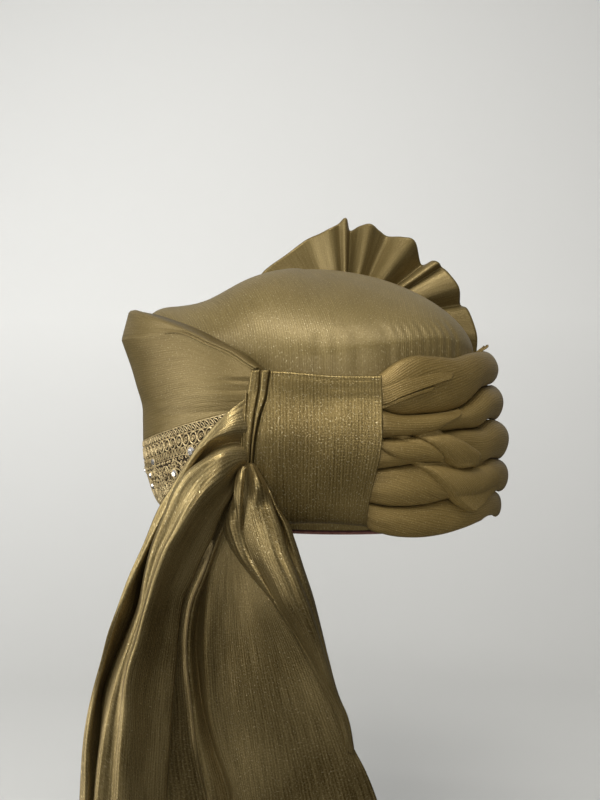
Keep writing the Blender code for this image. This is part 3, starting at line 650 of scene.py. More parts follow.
def metal_thread(name, deep, light, rough):
    """Twisted gold thread: fine slanting twists, pale on their ridges and darker in their hollows, which
    is painted highlight and painted shade.
    """
    look, tree, shader = new_look(name)
    place = solid_place(tree)
    twist = node(tree, "ShaderNodeTexWave", {"Vector": place, "Scale": 700.0, "Distortion": 3.0,
                                             "Detail": 1.0}, bands_direction="DIAGONAL").outputs["Fac"]
    wear = node(tree, "ShaderNodeTexNoise", {"Vector": place, "Scale": 260.0, "Detail": 2.0})
    # Painted highlight and shade: each twist's ridge goes pale and its hollow dark; wear adds random
    # tone
    tone = plus(tree, times(tree, twist, 0.5), span(tree, wear.outputs[0], 0.3, 0.7, 0.0, 0.5))
    fill(tree, shader, {"Base Color": mixed(tree, tone, (*deep, 1), (*light, 1)),
                        "Normal": raised(tree, twist, 0.0002), "Metallic": 0.55, "Roughness": rough})
    return look


def net_ground(name):
    """Bobbin net behind the lace threads: dark gold meshes, with the openings between them painted a
    near-black brown as painted shade.
    """
    look, tree, shader = new_look(name)
    holes = node(tree, "ShaderNodeTexVoronoi", {"Vector": flat_place(tree), "Scale": 900.0},
                 feature="DISTANCE_TO_EDGE")
    # Painted shade: the openings between the meshes go nearly black
    mesh = span(tree, holes.outputs["Distance"], 0.06, 0.22, 1.0, 0.0)
    colour = mixed(tree, mesh, (0.012, 0.007, 0.002, 1), (0.09, 0.057, 0.022, 1))
    fill(tree, shader, {"Base Color": colour, "Normal": raised(tree, mesh, 0.0004),
                        "Metallic": 0.4, "Roughness": 0.5})
    return look


def maroon_twill(name):
    """The dark red lining band: slanting twill lines and a dull nap."""
    look, tree, shader = new_look(name)
    place = solid_place(tree)
    twill = node(tree, "ShaderNodeTexWave", {"Vector": place, "Scale": 420.0, "Distortion": 0.6},
                 bands_direction="DIAGONAL").outputs["Fac"]
    nap = node(tree, "ShaderNodeTexNoise", {"Vector": place, "Scale": 60.0, "Detail": 3.0})
    tone = plus(tree, times(tree, twill, 0.5), times(tree, nap.outputs[0], 0.5))
    colour = mixed(tree, tone, (0.016, 0.002, 0.002, 1), (0.075, 0.010, 0.010, 1))
    fill(tree, shader, {"Base Color": colour, "Normal": raised(tree, twill, 0.0002),
                        "Roughness": 0.7, "Sheen Weight": 0.2})
    return look


def cut_crystal(name):
    """Foiled crystal: nearly a mirror, with small grey clouds of the foil behind it."""
    look, tree, shader = new_look(name)
    cloud = node(tree, "ShaderNodeTexVoronoi", {"Vector": solid_place(tree), "Scale": 700.0})
    colour = mixed(tree, cloud.outputs["Distance"], (1.0, 0.98, 0.94, 1), (0.6, 0.56, 0.5, 1))
    fill(tree, shader, {"Base Color": colour, "Metallic": 0.85, "Roughness": 0.04,
                        "Coat Weight": 1.0, "Coat Roughness": 0.02})
    return look


GOLD = rib_cloth("gold_rib_cloth", (0.135, 0.088, 0.024), (0.33, 0.232, 0.078), pitch=1.35,
                 tone=0.24, rib=0.06, metal=0.4, painted_glint=0.25)
GOLD_BAND = rib_cloth("gold_rib_cloth_band", (0.086, 0.058, 0.016), (0.335, 0.246, 0.094), pitch=1.95,
                      tone=0.17, rib=0.05, metal=0.66, rough=0.34, painted_glint=0.6)
GOLD_CROWN = rib_cloth("gold_rib_cloth_crown", (0.126, 0.088, 0.027), (0.285, 0.214, 0.082),
                       pitch=1.4, tone=0.18, rib=0.045, metal=0.25, painted_glint=0.4)
GOLD_BROW = rib_cloth("gold_rib_cloth_brow", (0.125, 0.086, 0.026), (0.275, 0.204, 0.08), pitch=1.3,
                      tone=0.13, rib=0.03, metal=0.38, painted_glint=0.25)
GOLD_FAN = rib_cloth("gold_satin_fan", (0.12, 0.084, 0.026), (0.295, 0.22, 0.088), pitch=1.3,
                     tone=0.06, rib=0.012, metal=0.45, rough=0.36, painted_glint=0.12)
GOLD_DEEP = rib_cloth("gold_rib_cloth_tail", (0.088, 0.059, 0.017), (0.5, 0.385, 0.175), pitch=1.45,
                      tone=0.16, rib=0.035, metal=0.78, rough=0.34, spread=0.2, painted_glint=0.4)
THREAD = metal_thread("lace_gold_thread", (0.17, 0.11, 0.04), (1.0, 0.8, 0.43), rough=0.34)
NET = net_ground("lace_net")
MAROON = maroon_twill("maroon_lining")
PIPING = metal_thread("piping_thread", (0.16, 0.05, 0.04), (0.4, 0.2, 0.16), rough=0.6)
CRYSTAL = cut_crystal("foiled_crystal")


# Cap


def cap_edge(angle):
    """Height where the dome of the cap turns upright, round the plan."""
    c = np.cos(np.radians(angle))
    front, back = np.clip(-c, 0, 1) ** 2, np.clip(c, 0, 1) ** 1.2
    return SIDE_EDGE + (FRONT_EDGE - SIDE_EDGE) * front + (BACK_EDGE - SIDE_EDGE) * back


def cap_reach(z):
    """Reach of the cap's wall to the front, back and side: upright below, leaning above."""
    def lean(edge):
        return np.clip(z - CAP_LEAN, 0, None) / (edge - CAP_LEAN)
    return (CAP_X + (DOME_FRONT - CAP_X) * lean(FRONT_EDGE),
            CAP_X + (DOME_BACK - CAP_X) * lean(BACK_EDGE),
            CAP_Y + (DOME_SIDE - CAP_Y) * lean(SIDE_EDGE))


def cap_wall(angle, z, extra=0.0):
    """Outside of the cap's wall at an angle and a height, moved out by an extra."""
    front, back, wide = cap_reach(z)
    c = np.cos(np.radians(angle))
    return plan(angle, np.where(c < 0, front, back) + extra, wide + extra)


def to_cap(x, y, z, extra):
    """The points moved level with themselves to the cap's wall, but for an extra."""
    front, _, wide = cap_reach(z)
    size = np.sqrt((x / (front + extra)) ** 2 + (y / (wide + extra)) ** 2)
    return stack(x / size, y / size, z)


def make_crown():
    """A dome on a rounded plan: out and up are sine and cosine powers of a turn from the apex,
    then the wall goes down in straight lines. On the near side the wall stands higher and the
    dome leaves it in a sharper shoulder. Gathers sink the near edge in narrow bells, and a wide
    bell sinks the dome behind the brow."""
    angle = np.linspace(-180, 180, 361)[:-1]
    c = np.cos(np.radians(angle))
    power = np.where(c < 0, SIDE_ROUND + (FRONT_ROUND - SIDE_ROUND) * c * c,
                     SIDE_ROUND + (BACK_ROUND - SIDE_ROUND) * c * c)
    near = ease((angle - NEAR_FROM) / NEAR_GROWS) * ease((NEAR_TO - angle) / NEAR_FADES)
    power = power + (NEAR_ROUND - power) * near
    edge = cap_edge(angle) + NEAR_LIFT * near
    rim_x, rim_y = cap_wall(angle, cap_edge(angle))
    turn = np.radians(90 * np.linspace(0.03, 1, 58) ** 0.8)[:, None]
    out = np.sin(turn) ** (2 / power)
    up = np.maximum(np.cos(turn), 0) ** (2 / power)
    depth = sum(d * bell((angle - a) / w) for a, w, d in GATHERS)
    sink = depth * ease((out - 0.9) / 0.08)
    slack = drift(rim_x * out, rim_y * out, [(0.05, 0.03, 1), (-0.03, 0.06, 2), (0.08, -0.02, 4)])
    x, y = APEX_X + (rim_x - APEX_X) * out, rim_y * out
    z = edge + (APEX_Z - edge) * up - 0.4 * sink + 0.8 * slack * ease(3 * up) - 0.8 * up
    z = z - DIP_DEEP * bell((x - DIP_X) / DIP_WIDE) * ease(2.5 * up)
    dome = stack(x, y + sink * (y < 0), z)
    down = np.linspace(0, 1, 9)[1:, None]
    wall = []
    for high, low in ((edge, CAP_LEAN), (CAP_LEAN + 0 * edge, CAP_LOW)):
        h = high + (low - high) * down
        wx, wy = cap_wall(angle, np.minimum(h, cap_edge(angle)))
        wall.append(stack(wx, wy + depth * (wy < 0) * ease((h - 60) / 40), h))
    grid = np.concatenate([dome] + wall)
    x, y, z = np.moveaxis(grid[:, np.r_[0:360, 0]], -1, 0)
    slant = RIB_SLANT * (1 - ease((x + 10) / 50))
    flat = lay(x + slant * y, y + np.tanh(y / 12) * (APEX_Z - z) * 0.6)
    piece = cloth("crown_cloth", grid, flat, CROWN_CLOTH, GOLD_CROWN, nodes=["crown"], around=True,
                  pole=True, middle=INSIDE)


def make_sweatband():
    """A hoop with a section like a flat loop, and a cord of piping round its lower edge."""
    angle = np.linspace(0, 360, 241)[:-1]
    t = once_round(28)[:, None]
    tall = BAND_TALL / 2
    lift = tall + tall * signed_power(np.cos(t), 0.25)
    out = BAND_THICK / 2 * (1 + np.sin(t))
    x, y = plan(angle, OPEN_X + out, OPEN_Y + out)
    grid = stack(x, y, lift)
    n, m = grid.shape[:2]
    quads, _ = quads_of(n, m, True)
    last = np.stack([(n - 1) * m + np.arange(m), (n - 1) * m + (np.arange(m) + 1) % m,
                     (np.arange(m) + 1) % m, np.arange(m)], 1)
    piece = bundle("sweatband_lining", [(grid.reshape(-1, 3), [quads, last])], MAROON,
                   ["sweatband"])
    x, y = plan(angle, OPEN_X + PIPING_OUT, OPEN_Y + PIPING_OUT)
    cord = stack(x, y, PIPING_LOW)[None]
    up = np.array([0.0, 0.0, 1.0])
    bundle("sweatband_piping", [tubes(cord, up, PIPING_ROUND, closed=True, sides=8)], PIPING)


# Brow


def brow_low(turn):
    """Height of the lower edge of the brow cloth."""
    return 4.0 + 8.5 * ease(abs(turn) / BROW_END)


def brow_height(turn, z):
    """Height as a share, 0 at the rim and 1 at the crease, of a turn from the front."""
    low = brow_low(turn)
    return (z - low) / (smooth_table(abs(turn), BROW_EDGES, 1) - low)


def brow_point(turn, share, out):
    """A point of the brow cloth: turn from the front, share of height, moved out by out."""
    x, y = plan(180 + turn, smooth_table(share, BROW, 1) + out, smooth_table(share, BROW, 2) + out,
                PLAN_POWER)
    low = brow_low(turn)
    return stack(x, y, low + share * (smooth_table(abs(turn), BROW_EDGES, 1) - low))


def make_front_panel():
    """Rows from the lower lip over the brow to the hem and back to the cap. Each row is the
    rounded plan at its reach; folds are lapped edges along lines from the band to the brow."""
    turn = np.linspace(-BROW_END, BROW_END, 271)
    crease, top, lace = (smooth_table(abs(turn), BROW_EDGES, k) for k in (1, 2, 3))
    low, size = brow_low(turn), abs(turn) / BROW_END
    at_lace = brow_height(turn, lace)
    x, y = plan(180 + turn, *LIP_REACH, PLAN_POWER)
    rows = [to_cap(x, y, low + 2.6, 1.9), stack(x, y, low + 1.0), stack(x, y, low + 0.2)]
    for k in np.linspace(0.03, 0.98, 12):
        rows.append(brow_point(turn, k * at_lace, -1.9))
    for k in np.linspace(0.0, 1.0, 56):
        share = at_lace + (1 - at_lace) * k
        z = low + share * (crease - low)
        dent = 0 * turn
        for at_band, at_brow, depth, width, end in BROW_FOLDS:
            line = at_brow + (at_band - at_brow) * size**1.5
            fade = ease((abs(turn) - end) / 18)
            dent = dent + depth * fade * (0.55 * bell((z - line) / width)
                                          - 0.5 * lap(z - line, 0.8 * width, 5 * width))
        soft = drift(0.09 * turn, 0.05 * z, [(1, 1, 0), (2.1, -1.3, 2), (-0.7, 2.4, 1)])
        rows.append(brow_point(turn, share, -dent + 0.5 * soft * ease(4 * k)))
    for k in np.linspace(0.0, 1.0, 16):
        hem = ease((abs(turn) - 28) / 34)
        proud = 0.5 * ease(k / 0.06)
        proud = proud + hem * (0.4 * bell((k - 0.85) / 0.12) - 0.5 * bell((k - 0.5) / 0.1))
        front, wide = (reach - k * turned for reach, turned in zip(CREASE_REACH, HEM_TURNED_IN))
        x, y = plan(180 + turn, front + proud - 0.8 * ease((k - 0.93) / 0.07), wide + proud, PLAN_POWER)
        rows.append(stack(x, y, crease + k * (top - crease)))
    for front, wide, lift in HEM_BACK:
        x, y = plan(180 + turn, front, wide, PLAN_POWER)
        rows.append(stack(x, y, top + lift))
    rows.append(to_cap(x, y, top - 1.6, 1.9))
    grid = np.array(rows)
    flat = lay(lengths(grid, 0).mean(1)[:, None], lengths(grid, 1))
    piece = cloth("brow_cloth", grid, flat, BROW_CLOTH, GOLD_BROW, nodes=["front_panel"],
                  middle=INSIDE)


# Lace

# Turns from the front and places along the lace's top edge in mm, 0 in the middle
LACE_TURN = np.linspace(-LACE_END, LACE_END, 1321)
LACE_EDGE = brow_point(LACE_TURN, brow_height(LACE_TURN, smooth_table(abs(LACE_TURN), BROW_EDGES, 3)), 0)
LACE_ALONG = np.r_[0, np.cumsum(np.linalg.norm(np.diff(LACE_EDGE, axis=0), axis=-1))]
LACE_ALONG = LACE_ALONG - LACE_ALONG[-1] / 2
LACE_HALF = LACE_ALONG[-1]


def on_lace(along, down, out):
    """A place on the lace: mm along from the front, mm down from its top edge, mm out."""
    turn = np.interp(along, LACE_ALONG, LACE_TURN)
    z = smooth_table(abs(turn), BROW_EDGES, 3) - down
    return brow_point(turn, brow_height(turn, z), out)


def lace_tall(along):
    """Height of the lace at a place along it."""
    turn = np.interp(along, LACE_ALONG, LACE_TURN)
    return smooth_table(abs(turn), BROW_EDGES, 3) - brow_low(turn) - 2.0


def out_of_lace(along, down):
    """The direction away from the cloth at a place on the lace."""
    p = on_lace(along, down, 0.0)
    return np.cross(on_lace(along + 0.5, down, 0.0) - p, on_lace(along, down - 0.5, 0.0) - p)


def thread(along, down, lift, radius, closed=False, sides=5):
    """Threads laid on the lace along arrays of places, (threads, places)."""
    along, down = np.broadcast_arrays(along, down)
    n = unit(out_of_lace(along, down))
    middle = on_lace(along, down, 0.0)
    n = n * np.sign((n * (middle - INSIDE)).sum(-1, keepdims=True))
    return tubes(middle + n * np.asarray(lift)[..., None], n, radius, closed, sides)


def braid(centre, half, pitch, radius, lean):
    """A chain braid: a row of slanted loops, each an ellipse sheared along the lace."""
    mid = np.arange(-LACE_HALF + 2, LACE_HALF - 2, pitch)[:, None]
    t = once_round(16)[None]
    return thread(mid + 0.34 * pitch * np.cos(t) + lean * pitch * np.sin(t), centre + half * np.sin(t),
                  0.15 + 0.2 * np.cos(t), radius, closed=True)


def ring_row(centre, half, pitch):
    """Oval rings in a row, and in each a curl: an arm that turns inward as it shrinks."""
    mid = np.arange(-LACE_HALF + 4, LACE_HALF - 4, pitch)[:, None]
    t = once_round(22)[None]
    s = np.linspace(0, 1, 18)[None]
    curl = 2 * np.pi * (1.5 * s + 0.3)
    r = 1 - 0.85 * s
    return [thread(mid + 0.43 * pitch * np.cos(t), centre + half * np.sin(t), 0.25, 0.5, closed=True),
            thread(mid + 0.25 * pitch * r * np.cos(curl), centre + 0.56 * half * r * np.sin(curl),
                   0.2, 0.38)]


def scrolls(top):
    """The deep part of the lace, in repeats: drops with curled ends, sprays of leaves and vines."""
    pitch = SCROLL_PITCH
    mid = (np.arange(-5, 6) * pitch)[:, None]
    mid = mid[np.abs(mid[:, 0]) < LACE_HALF - 8]
    tall = lace_tall(mid) - top
    parts = []
    t = np.linspace(0, 1, 40)[None]
    for grow in (1.0, 0.72, 0.45):
        w = 2 * np.pi * t
        x = 0.42 * pitch * grow * np.sin(w) * (0.35 + 0.65 * np.sin(np.pi * t) ** 0.8)
        x = x + 0.16 * pitch * grow * (1 - t) ** 2 * np.sin(np.pi * t) * 2
        y = 0.5 + (-0.46 * np.cos(w)) * grow
        parts.append(thread(mid + x, top + tall * y, 0.1, 0.44))
    s = np.linspace(0, 1, 30)[None]
    for side in (-1, 1):
        for high, size, turns in ((0.2, 4.2, 1.6), (0.55, 5.2, 1.8), (0.86, 3.8, 1.5)):
            r = size * (1 - 0.8 * s)
            w = 2 * np.pi * turns * s + (0.6 if side > 0 else np.pi - 0.6)
            parts.append(thread(mid + side * 0.5 * pitch + side * -2.6 + side * r * np.cos(w),
                                top + tall * high + r * np.sin(w), 0.15, 0.4))
    w = once_round(33)[None]
    for high, size, petals in ((0.5, 3.4, 6), (0.14, 2.2, 5)):
        r = size * (0.72 + 0.28 * np.cos(petals * w))
        parts.append(thread(mid + r * np.cos(w), top + tall * high + r * np.sin(w), 0.2, 0.38,
                            closed=True))
    return parts


def loops(low, high, step):
    """Small loops that fill the ground between two depths, in rows set half a step apart."""
    row, place = np.meshgrid(np.arange(low, high, step),
                             np.arange(-LACE_HALF + 3, LACE_HALF - 3, 1.08 * step))
    down, along = row.ravel(), (place + (row - low) / step % 2 * 0.54 * step).ravel()
    along, down = along + 0.5 * np.sin(9 * down + along), down + 0.5 * np.sin(7 * along)
    keep = down < lace_tall(along) - 1.6
    along, down = along[keep, None], down[keep, None]
    t = once_round(7)[None]
    size = 0.95 + 0.3 * np.sin(5 * along)
    return thread(along + size * np.cos(t), down + size * np.sin(t), 0.0, 0.36, closed=True, sides=4)


def make_lace():
    """A net ground along the brow, with braids, rings and scrolls of gold thread laid on it."""
    turn = np.linspace(-LACE_END, LACE_END, 161)
    top = smooth_table(abs(turn), BROW_EDGES, 3)
    at_lace = brow_height(turn, top)
    k = np.linspace(0.03, 0.985, 31)[:, None]
    edge = 0.6 * np.abs(np.sin(turn * 1.9)) * ease((0.15 - k) / 0.1)
    grid = brow_point(turn, at_lace * k, -0.75)
    grid[..., 2] += edge
    flat = lay(lengths(grid, 1), lengths(grid, 0))
    base = cloth("lace_net", grid, flat, NET_CLOTH, NET, ["brow_lace"], middle=INSIDE)
    ends = np.arange(-LACE_HALF + 1, LACE_HALF - 1, 1.5)
    rims = [thread(ends[None], down, -0.1, 0.38) for down in LACE_PLAIN]
    hem = lace_tall(ends) - 0.6 - 0.9 * np.abs(np.sin(ends * np.pi / 4.4))
    rims.append(thread(ends[None], hem[None], 0.0, 0.5))
    for name, parts in (("braids", rims + [braid(*row) for row in BRAIDS]),
                        ("rings", ring_row(*RINGS)), ("scrolls", scrolls(SCROLL_TOP)),
                        ("loops", [loops(LOOP_TOP, LOOP_FOOT, LOOP_STEP)])):
        bundle("lace_" + name, parts, THREAD)


def make_stones():
    """The cut stones keep their solids and get foiled crystal. Round each goes a setting: an oval
    path of its own length and width whose thickness swells and thins into grains."""
    t = once_round(48)
    paths, out = [], []
    for name, solid in sorted(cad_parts.items()):
        if name.startswith("brow_stone"):
            solid.data.materials.clear()
            solid.data.materials.append(CRYSTAL)
            co = np.array([v.co for v in solid.data.vertices]) * 1000
            middle = co.mean(0)
            a, b, n = np.linalg.svd(co - middle, full_matrices=False)[2]
            n = n * np.sign(n @ (middle - np.array([0.0, 0.0, middle[2]])))
            far_a, far_b, far_n = (abs((co - middle) @ d).max() for d in (a, b, n))
            paths.append(middle - 0.35 * far_n * n + np.cos(t)[:, None] * a * (far_a + 0.25)
                         + np.sin(t)[:, None] * b * (far_b + 0.25))
            out.append(n)
    out = np.array(out)[:, None] + np.zeros((1, len(t), 1))
    size = 0.34 + 0.16 * np.cos(12 * t)[None]
    bundle("stone_settings", [tubes(np.array(paths), out, size, closed=True, sides=6)], THREAD)


# Bands and rolls


def band_face(x, side):
    """Fullest face of an upright band at x, on the side -1 or 1."""
    return side * (BAND_Y - BAND_BEND * x * x)


def make_band(name, side, near, nodes):
    """An upright strip wrapped in at its top and bottom: a profile of insets carried along a
    slightly bowed line. The near one's front edge is a layer that steps out from one below it."""
    wide = BAND_X1 - BAND_X0
    along = np.r_[np.linspace(0, 16, 70), np.linspace(16, wide, 90)[1:]]
    if not near:
        along = along[::3]
    profile = np.array(BAND_PROFILE if near else BAND_PROFILE[2:])
    shape = through(profile, np.linspace(0, 1, 116 if near else 80))
    inset, z = shape[:, 0][:, None], shape[:, 1][:, None]
    x = BAND_X0 + along - BAND_FOOT_IN * ease((60 - z) / 50) * (along / wide) ** 4
    x = x - BAND_LIP_OUT * ease((inset - 6) / 6) * ease((z - 80) / 10) * (1 - along / wide) ** 4
    drop = BAND_TOP_SINK * ease((x + 44) / 45) * ease((z - 80) / 12)
    drop = drop - BAND_FOOT_HANG * ease((14 - z) / 6) * np.sin(np.pi * along / wide)
    rise = 0.0
    if near:
        past = x - np.interp(z, *np.array(BAND_STEP).T)
        rise = -1.9 * ease(0.5 - past / 1.0) + 0.6 * bell((past - 0.9) / 0.9)
    soft = 0.35 * drift(0.11 * along, 0.07 * z, [(1, 1, 0.4), (1.7, -0.8, 2), (-0.5, 2.2, 5)])
    face = band_face(BAND_X0 + along, side)
    y = face - side * inset + side * (rise + soft) * np.minimum(1, 6 / (inset + 4))
    front, _, wide_cap = cap_reach(z)
    y = side * np.maximum(abs(y), wide_cap * np.sqrt(1 - (x / front) ** 2) + 0.4)
    grid = stack(x, y, z - drop)
    flat = lay(along[None], lengths(grid, 0))
    piece = cloth(name, grid, flat, BAND_CLOTH, GOLD_BAND, nodes=nodes, middle=INSIDE)


def strip(name, left, right, rows, cols, place, height, look, edges, closed):
    """A strip laid over a surface between two edges, each a smooth line of pairs. It stands out
    by a height that rounds down at its edges (both, or fades from the left one) and at the ends
    that are closed."""
    s, v = np.linspace(0, 1, rows)[:, None], np.linspace(0, 1, cols)[None]
    v = 0.5 - 0.5 * np.cos(np.pi * v) if edges == "both" else v**2
    a, b = (through(line, s[:, 0]) for line in (left, right))
    at = a[:, None] + (b - a)[:, None] * v[..., None]
    if edges == "both":
        full = (1 - np.abs(2 * v - 1) ** 4) ** 0.45
    else:
        full = (1 - (1 - np.clip(v / 0.07, 0, 1)) ** 2) ** 0.5 * (1 - v) ** 0.8
    for shut, near_end in zip(closed, (s, 1 - s)):
        if shut:
            full = full * (1 - (1 - np.clip(near_end / 0.09, 0, 1)) ** 2) ** 0.5
    grid = place(at[..., 0], at[..., 1], (height + 1.4) * full - 1.8)
    flat_lay = lay(lengths(grid, 1)[rows // 2], lengths(grid, 0))
    piece = cloth(name, grid, flat_lay, STRIP_CLOTH, look, middle=INSIDE)


def on_band(x, z, lift):
    """A place on the near band: x, height, moved out by a lift."""
    profile = np.array(BAND_PROFILE[4:-2])[::-1]
    inset = np.interp(z, profile[:, 1], profile[:, 0])
    return stack(x, band_face(x, -1) + inset - lift, z)


def make_pleats():
    """Pleats down the front edge of the near band: strips between two edges."""
    for name, left, right, height, flat in PLEATS:
        cols = 30 if "pleat" in name else 9
        strip(name, left, right, 70, cols, on_band, height, GOLD_BAND, "both",
              (False, False))


def roll_edges(k, way):
    """Lower and upper edge of roll k (from 0) at a way round it."""
    return (smooth_table(way, ROLL_EDGES[k], 1) + 0.5 * ROLL_GAP,
            smooth_table(way, ROLL_EDGES[k + 1], 1) - 0.5 * ROLL_GAP)


def roll_place(k, angle, z, p, lift):
    """A place on roll k: from the cap (p = -1) to its full reach (p = 1), moved out by a lift."""
    in_x, in_y = cap_wall(angle, z, ROLL_GAP)
    out_x, out_y = plan(angle, ROLL_REACH[k] - 1.8, ROLL_SIDE[k] - 1.8, PLAN_POWER)
    f = 0.5 * (p + 1) + (lift - 0.6 * np.clip(p, 0, 1) ** 0.6) / 14.0
    return stack(in_x + (out_x - in_x) * f, in_y + (out_y - in_y) * f, z)


def make_roll(number):
    """A roll of gathered cloth: rounded sections between two edges, carried round the back."""
    k = number - 1
    angle = np.linspace(-ROLL_END, ROLL_END, 301)[:, None]
    way = 1 - abs(angle) / ROLL_END
    low, high = roll_edges(k, way)
    t = once_round(64) + 0.5 * np.pi
    round_end = ease((way - 0.42) / 0.25)
    p = signed_power(np.cos(t), 0.8 + 0.3 * round_end)
    q = signed_power(np.sin(t), 0.92 + 0.08 * round_end)
    z = 0.5 * (low + high) + 0.5 * (high - low) * q
    lift = 0.6 * drift(0.06 * angle, 1.4 * q, [(1, 1, k), (1.9, -1, 2 * k), (0.6, 2, 5 + k)])
    lift = lift + 0.5 * np.cos(6 * t + k) * np.exp(-way / 0.1)
    grid = roll_place(k, angle, z, p, lift * np.clip(p, 0, 1) ** 0.6)
    n, m = grid.shape[:2]
    around = lengths(np.concatenate([grid, grid[:, :1]], 1), 1).mean(0)
    turned = ROLL_TWIST[k] * ease(way / 0.5)
    flat = lay(around[None] + turned, (angle + ROLL_END) * 2.9)
    quads, places = quads_of(n, m, True)
    ends = np.array([np.arange(m)[::-1], (n - 1) * m + np.arange(m)])
    faces, flats = [quads, ends], [flat[places], np.zeros((2, m, 2))]
    nrm = np.cross(grid[:-1, 1] - grid[:-1, 0], grid[1:, 0] - grid[:-1, 0])
    centre = grid.mean(1, keepdims=True)[:-1, 0]
    if (nrm * (grid[:-1, 0] - centre)).sum() < 0:
        faces, flats = [f[:, ::-1] for f in faces], [f[:, ::-1] for f in flats]
    piece = mesh_of(f"rolled_cloth_{number}", grid.reshape(-1, 3), faces, flats)
    finish_piece(piece, GOLD, [f"back_roll_{number}"])


def make_roll_strips():
    """Lapped layers of the near rolls: strips that follow the roll's own section, kept out of the
    groove below it."""
    for name, number, left, right, height, edges, closed, flat in ROLL_STRIPS:
        k = number - 1

        def place(far, z, lift):
            way = far / ROLL_HALF_RUN
            low, high = roll_edges(k, way)
            q = (2 * z - low - high) / (high - low)
            p = np.maximum((1 - np.clip(np.abs(q), 0, 1) ** 2.17) ** 0.4,
                           np.where(q < 0, 0.72, 0.3))
            return roll_place(k, -ROLL_END * (1 - way), z, p, lift)

        left, right = ([(ROLL_HALF_RUN * w, z) for w, z in line] for line in (left, right))
        strip(name, left, right, 60, 26, place, height, GOLD, edges, closed)


# Fan, tail and tucked end


def sheet_between(lines, rows, cols):
    """A grid smooth along each fold line and smooth across them."""
    down = np.array([through(line, np.linspace(0, 1, rows)) for line in lines])
    return np.swapaxes(through(down, np.linspace(0, 1, cols), True), 0, 1)


def make_fan():
    """Fold lines that spread from a neck, joined by a smooth sheet that rounds every fold."""
    cx, cy, cz = FAN_NECK
    n = len(FAN_FOLDS)
    lines = []
    for i, (angle, reach, shift) in enumerate(FAN_FOLDS):
        k = i / (n - 1) - 0.5
        a = np.radians(angle)
        tip = np.array([cx + reach * np.cos(a), cy + 0.8 * shift + 0.05 * reach * np.sin(a),
                        cz + reach * np.sin(a)])
        neck = np.array([cx + 34 * k, cy + 0.16 * shift, cz + 16 * np.cos(1.5 * k)])
        root, bend = ([x + spread * k, y + 0.16 * shift, z] for x, spread, y, z in (FAN_ROOT, FAN_BEND))
        lines.append([root, bend, neck, neck * 0.62 + tip * 0.38 + [0, 0.1 * shift, 0], tip])
    grid = sheet_between(lines, 84, 217)
    flat = lay(lengths(grid, 1)[60], lengths(grid, 0))
    piece = cloth("fan_cloth", grid, flat, HUNG_CLOTH, GOLD_FAN, nodes=["fan"], side=0.0)


def make_tail():
    """Lengths of cloth that hang from under the pleat and overlap. Each is a smooth sheet through
    its fold lines, with shallow ripples along them."""
    for name, lines, rows, cols, flat, ripples, depth in TAIL_LENGTHS:
        grid = sheet_between(lines, rows, cols)
        c = np.linspace(0, len(lines) - 1, cols)
        r = np.linspace(0, 1, rows)[:, None]
        small = np.cos(2 * np.pi * (ripples * c + 0.4 * r)) + 0.6 * np.cos(2 * np.pi * (1.7 * c + 1))
        small = depth * small * ease(5 * r) * ease(5 * (1 - r))
        grid = grid + normals(grid) * small[..., None]
        flat_lay = lay(lengths(grid, 1)[int(0.55 * rows)], lengths(grid, 0))
        piece = cloth(name, grid, flat_lay, HUNG_CLOTH, GOLD_DEEP, ["tail"],
                      side=0.0)


def make_tuck_end():
    """A short cloth end standing between the dome and the top roll, with a frayed upper edge."""
    across = np.linspace(-6, 6, 60)
    rows = []
    for out, z in ((95.0, 109.5), (96.8, 112.0), (99.2, 114.0), (101.8, 115.6)):
        rows.append(stack(out - 0.03 * across**2, across - 22, z + 0.35 * np.sin(1.3 * across)))
    height = np.linspace(0, 1, 24)
    grid = through(rows, height, True)
    grid[..., 2] += 0.9 * np.abs(np.sin(across * 5.0)) * ease((height[:, None] - 0.85) / 0.15)
    flat = lay(lengths(grid, 1), lengths(grid, 0))
    piece = cloth("tucked_end", grid, flat, TUCK_CLOTH, GOLD, nodes=["tuck_end"],
                  middle=(90, -22, 110))


# Studio

# Floor height, start of the curve, its radius and the wall's top, all in mm
FLOOR, CURVE_FROM, CURVE_ROUND, WALL_TOP = -320.0, 500.0, 500.0, 3000.0
FLOOR_NEAR, FLOOR_HALF = -3000.0, 4000.0
# Lamps: name, place and target in metres, size, power, colour
LAMPS = [
    ("window_light", (-1.3, -0.55, 0.35), (-0.02, 0.0, 0.05), (1.0, 1.0), 12.5, (0.98, 0.99, 1)),
    ("ceiling_light", (-0.15, -0.6, 1.15), (-0.03, -0.05, 0.08), (0.7, 0.5), 11.5, (1, 0.98, 0.94)),
    ("front_light", (0.05, -1.35, 0.2), (-0.02, 0.0, 0.06), (0.8, 0.2), 4.2, (1, 0.98, 0.95)),
    ("floor_glow", (-1.1, -0.25, -0.35), (-0.06, -0.1, -0.02), (0.9, 0.5), 3.4, (1, 0.98, 0.95))]
# Camera: place and clip in metres, lens and sensor in mm
CAMERA_AT, CAMERA_CLIP, CAMERA_LENS, CAMERA_SENSOR = (-0.025, -0.52, 0.08), 0.01, 33.19, 36.0


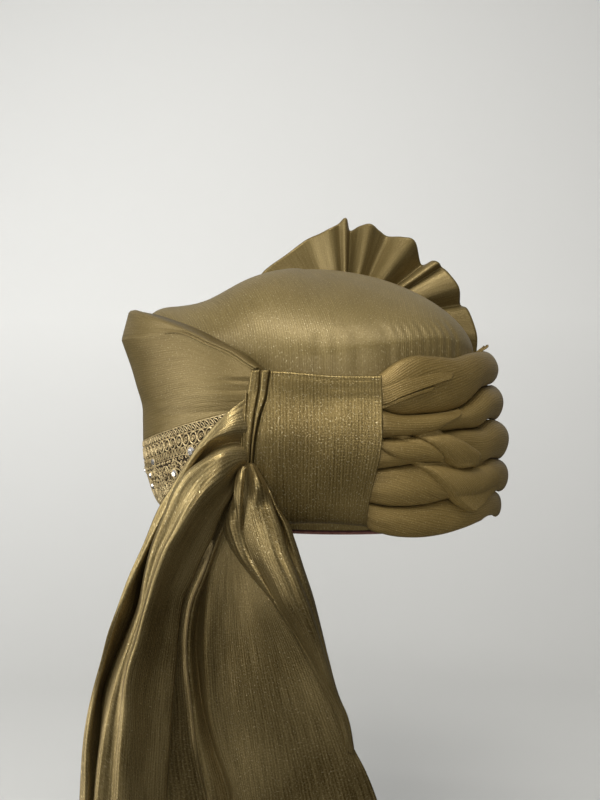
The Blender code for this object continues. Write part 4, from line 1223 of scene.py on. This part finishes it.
def make_cove():
    """A pale floor that curves up into a wall in a quarter circle, painted darker towards the floor as
    painted shade.
    """
    t = np.linspace(0, np.pi / 2, 24)
    y = np.r_[FLOOR_NEAR, CURVE_FROM + CURVE_ROUND * np.sin(t), CURVE_FROM + CURVE_ROUND]
    z = np.r_[FLOOR, FLOOR + CURVE_ROUND * (1 - np.cos(t)), WALL_TOP]
    grid = stack(np.array([-FLOOR_HALF, FLOOR_HALF])[:, None], y, z)
    quads, _ = quads_of(*grid.shape[:2], False)
    stage = mesh_of("studio_cove", grid.reshape(-1, 3), [quads])
    look, tree, shader = new_look("cove_paint")
    high = node(tree, "ShaderNodeSeparateXYZ", {0: solid_place(tree)}).outputs[2]
    # Painted shade: a darker grey on the floor that grows paler up the wall
    shaded_paint = mixed(tree, span(tree, high, -0.32, 0.25), (0.6, 0.6, 0.585, 1), (0.86, 0.86, 0.845, 1))
    fill(tree, shader, {"Base Color": shaded_paint, "Roughness": 0.9})
    stage.data.materials.append(look)
    stage.visible_glossy = False


def make_lamp(name, at, target, size, power, colour):
    """A flat lamp that faces its target."""
    data = bpy.data.lights.new(name, "AREA")
    data.shape = "RECTANGLE"
    data.size, data.size_y = size
    data.energy = power
    data.color = colour
    light = placed(name, data)
    light.location = at
    light.rotation_euler = (Vector(target) - Vector(at)).to_track_quat("-Z", "Y").to_euler()


def make_room():
    """What lights the shadows and shows in the metal: dark below, paler above the horizon. The
    camera itself sees a plain wall."""
    world = bpy.data.worlds.new("room")
    bpy.context.scene.world = world
    world.use_nodes = True
    tree = world.node_tree
    way = node(tree, "ShaderNodeTexCoord").outputs["Generated"]
    up = node(tree, "ShaderNodeSeparateXYZ", {0: way}).outputs[2]
    ramp = node(tree, "ShaderNodeValToRGB", {0: span(tree, up, -1, 1)})
    stops = ramp.color_ramp.elements
    stops[0].position, stops[0].color = 0.0, (0.03, 0.028, 0.024, 1)
    stops[1].position, stops[1].color = 1.0, (0.5, 0.5, 0.49, 1)
    for position, grey in ((0.46, 0.06), (0.54, 0.16), (0.75, 0.34)):
        stops.new(position).color = (grey, grey, grey * 0.98, 1)
    seen = node(tree, "ShaderNodeLightPath").outputs["Is Camera Ray"]
    colour = mixed(tree, seen, ramp.outputs[0], (0.66, 0.66, 0.65, 1))
    tree.links.new(colour, tree.nodes["Background"].inputs[0])


def make_camera():
    """The photograph's view: level, from the wearer's left, a little below the crown."""
    data = bpy.data.cameras.new("photo_camera")
    data.sensor_width = CAMERA_SENSOR
    data.lens = CAMERA_LENS
    data.clip_start = CAMERA_CLIP
    camera = placed("photo_camera", data)
    camera.location = CAMERA_AT
    camera.rotation_euler = (np.pi / 2, 0, 0)
    bpy.context.scene.camera = camera
    bpy.context.scene.view_settings.view_transform = "Standard"


make_camera()
make_crown()
make_sweatband()
make_front_panel()
make_lace()
make_stones()
make_band("side_band_cloth", -1, True, ["side_band"])
make_band("far_band_cloth", 1, False, ["far_band"])
make_pleats()
for number in range(1, 6):
    make_roll(number)
make_roll_strips()
make_fan()
make_tail()
make_tuck_end()
make_cove()
for lamp in LAMPS:
    make_lamp(*lamp)
make_room()
